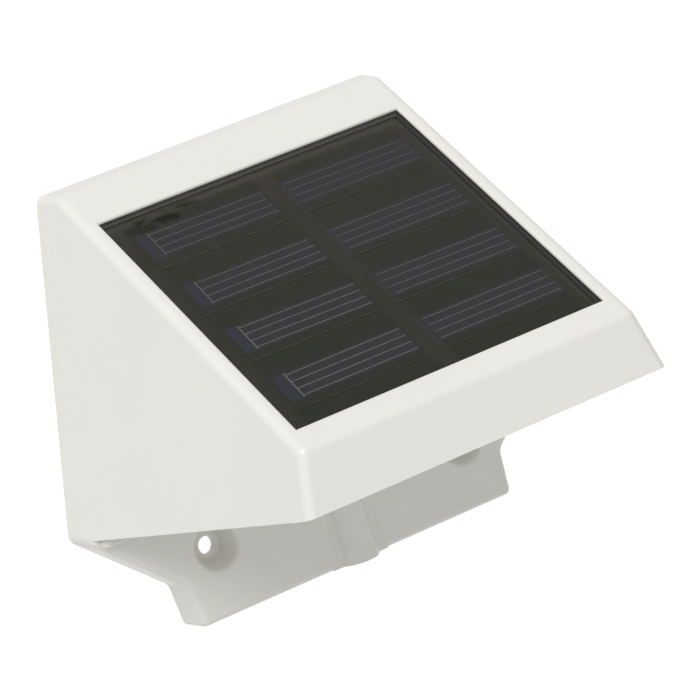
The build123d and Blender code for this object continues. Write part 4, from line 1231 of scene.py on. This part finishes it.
@dataclass
class Studio:
    """Camera at the photograph's viewing angle, plain soft light and a pale floor."""

    azimuth: float = -26.398
    elevation: float = 9.590
    roll: float = 17.793
    distance: float = 0.939571
    target: tuple[float, float, float] = (-0.002754, -0.043211, 0.036443)
    lens: float = 216.48
    sensor: float = 36.0
    sky: float = 0.42
    key_direction: tuple[float, float, float] = (-0.44, -0.59, 0.677)
    key_strength: float = 1.95
    key_angle: float = 40.0
    floor_z: float = -0.3
    floor_half: float = 60.0
    floor_colour: Colour = (0.75, 0.75, 0.75)
    floor_lift: float = 0.42

    def build(self) -> None:
        """Makes the whole studio."""
        self.camera()
        self.world()
        self.key()
        self.floor()
        bpy.context.scene.view_settings.view_transform = "Standard"

    def camera(self) -> None:
        """Makes the camera from its angles, its distance and the point that it looks at."""
        a, e, r = (math.radians(v) for v in (self.azimuth, self.elevation, self.roll))
        back = Vector((math.sin(a) * math.cos(e), -math.cos(a) * math.cos(e), math.sin(e)))
        level_right = Vector((math.cos(a), math.sin(a), 0))
        level_up = back.cross(level_right)
        up = level_up * math.cos(r) + level_right * math.sin(r)
        right = level_right * math.cos(r) - level_up * math.sin(r)
        data = bpy.data.cameras.new("photo_camera")
        data.lens = self.lens
        data.sensor_width = self.sensor
        data.clip_start = 0.01
        data.clip_end = 200.0
        made = bpy.data.objects.new("photo_camera", data)
        bpy.context.scene.collection.objects.link(made)
        turn = Matrix((right, up, back)).transposed().to_4x4()
        made.matrix_world = Matrix.Translation(Vector(self.target) + back * self.distance) @ turn
        bpy.context.scene.camera = made

    def world(self) -> None:
        """Makes an even sky. Straight on and in reflections it is the white background."""
        world = bpy.data.worlds.new("studio_sky")
        world.use_nodes = True
        bpy.context.scene.world = world
        desk = NodeDesk(world.node_tree)
        light = desk.node("Background", None, {"Color": (1.0, 1.0, 1.0), "Strength": self.sky})
        ground = desk.node("Background", None, {"Color": (1.0, 1.0, 1.0), "Strength": 1.0})
        desk.node("OutputWorld", None, {"Surface": desk.shader_mix(desk.seen(), light, ground)})

    def key(self) -> None:
        """Makes one broad soft light from the front, left and above."""
        data = bpy.data.lights.new("soft_key", "SUN")
        data.energy = self.key_strength
        data.angle = math.radians(self.key_angle)
        made = bpy.data.objects.new("soft_key", data)
        bpy.context.scene.collection.objects.link(made)
        made.rotation_mode = "QUATERNION"
        made.rotation_quaternion = Vector(self.key_direction).to_track_quat("Z", "Y")

    def floor(self) -> None:
        """Makes the floor below the light."""
        data = bpy.data.meshes.new("studio_floor")
        half = self.floor_half
        corners = [(-half, -half), (half, -half), (half, half), (-half, half)]
        data.from_pydata([(x, y, self.floor_z) for x, y in corners], [], [(0, 1, 2, 3)])
        data.materials.append(StudioFloor("floor_pale", self.floor_colour, self.floor_lift).material())
        made = bpy.data.objects.new("studio_floor", data)
        bpy.context.scene.collection.objects.link(made)


def main() -> None:
    """Builds the studio and the light's sub-assemblies."""
    logging.basicConfig(level=logging.INFO, format="%(message)s")
    Studio().build()
    parts = (Housing(), SolarPanel(), BottomCover(), BatteryBay(), Lamp(), ControlBoard(), Switch(), Leads())
    for part in parts:
        part.build()
        log.info("%s is ready", type(part).__name__)


if __name__ == "__main__":
    main()
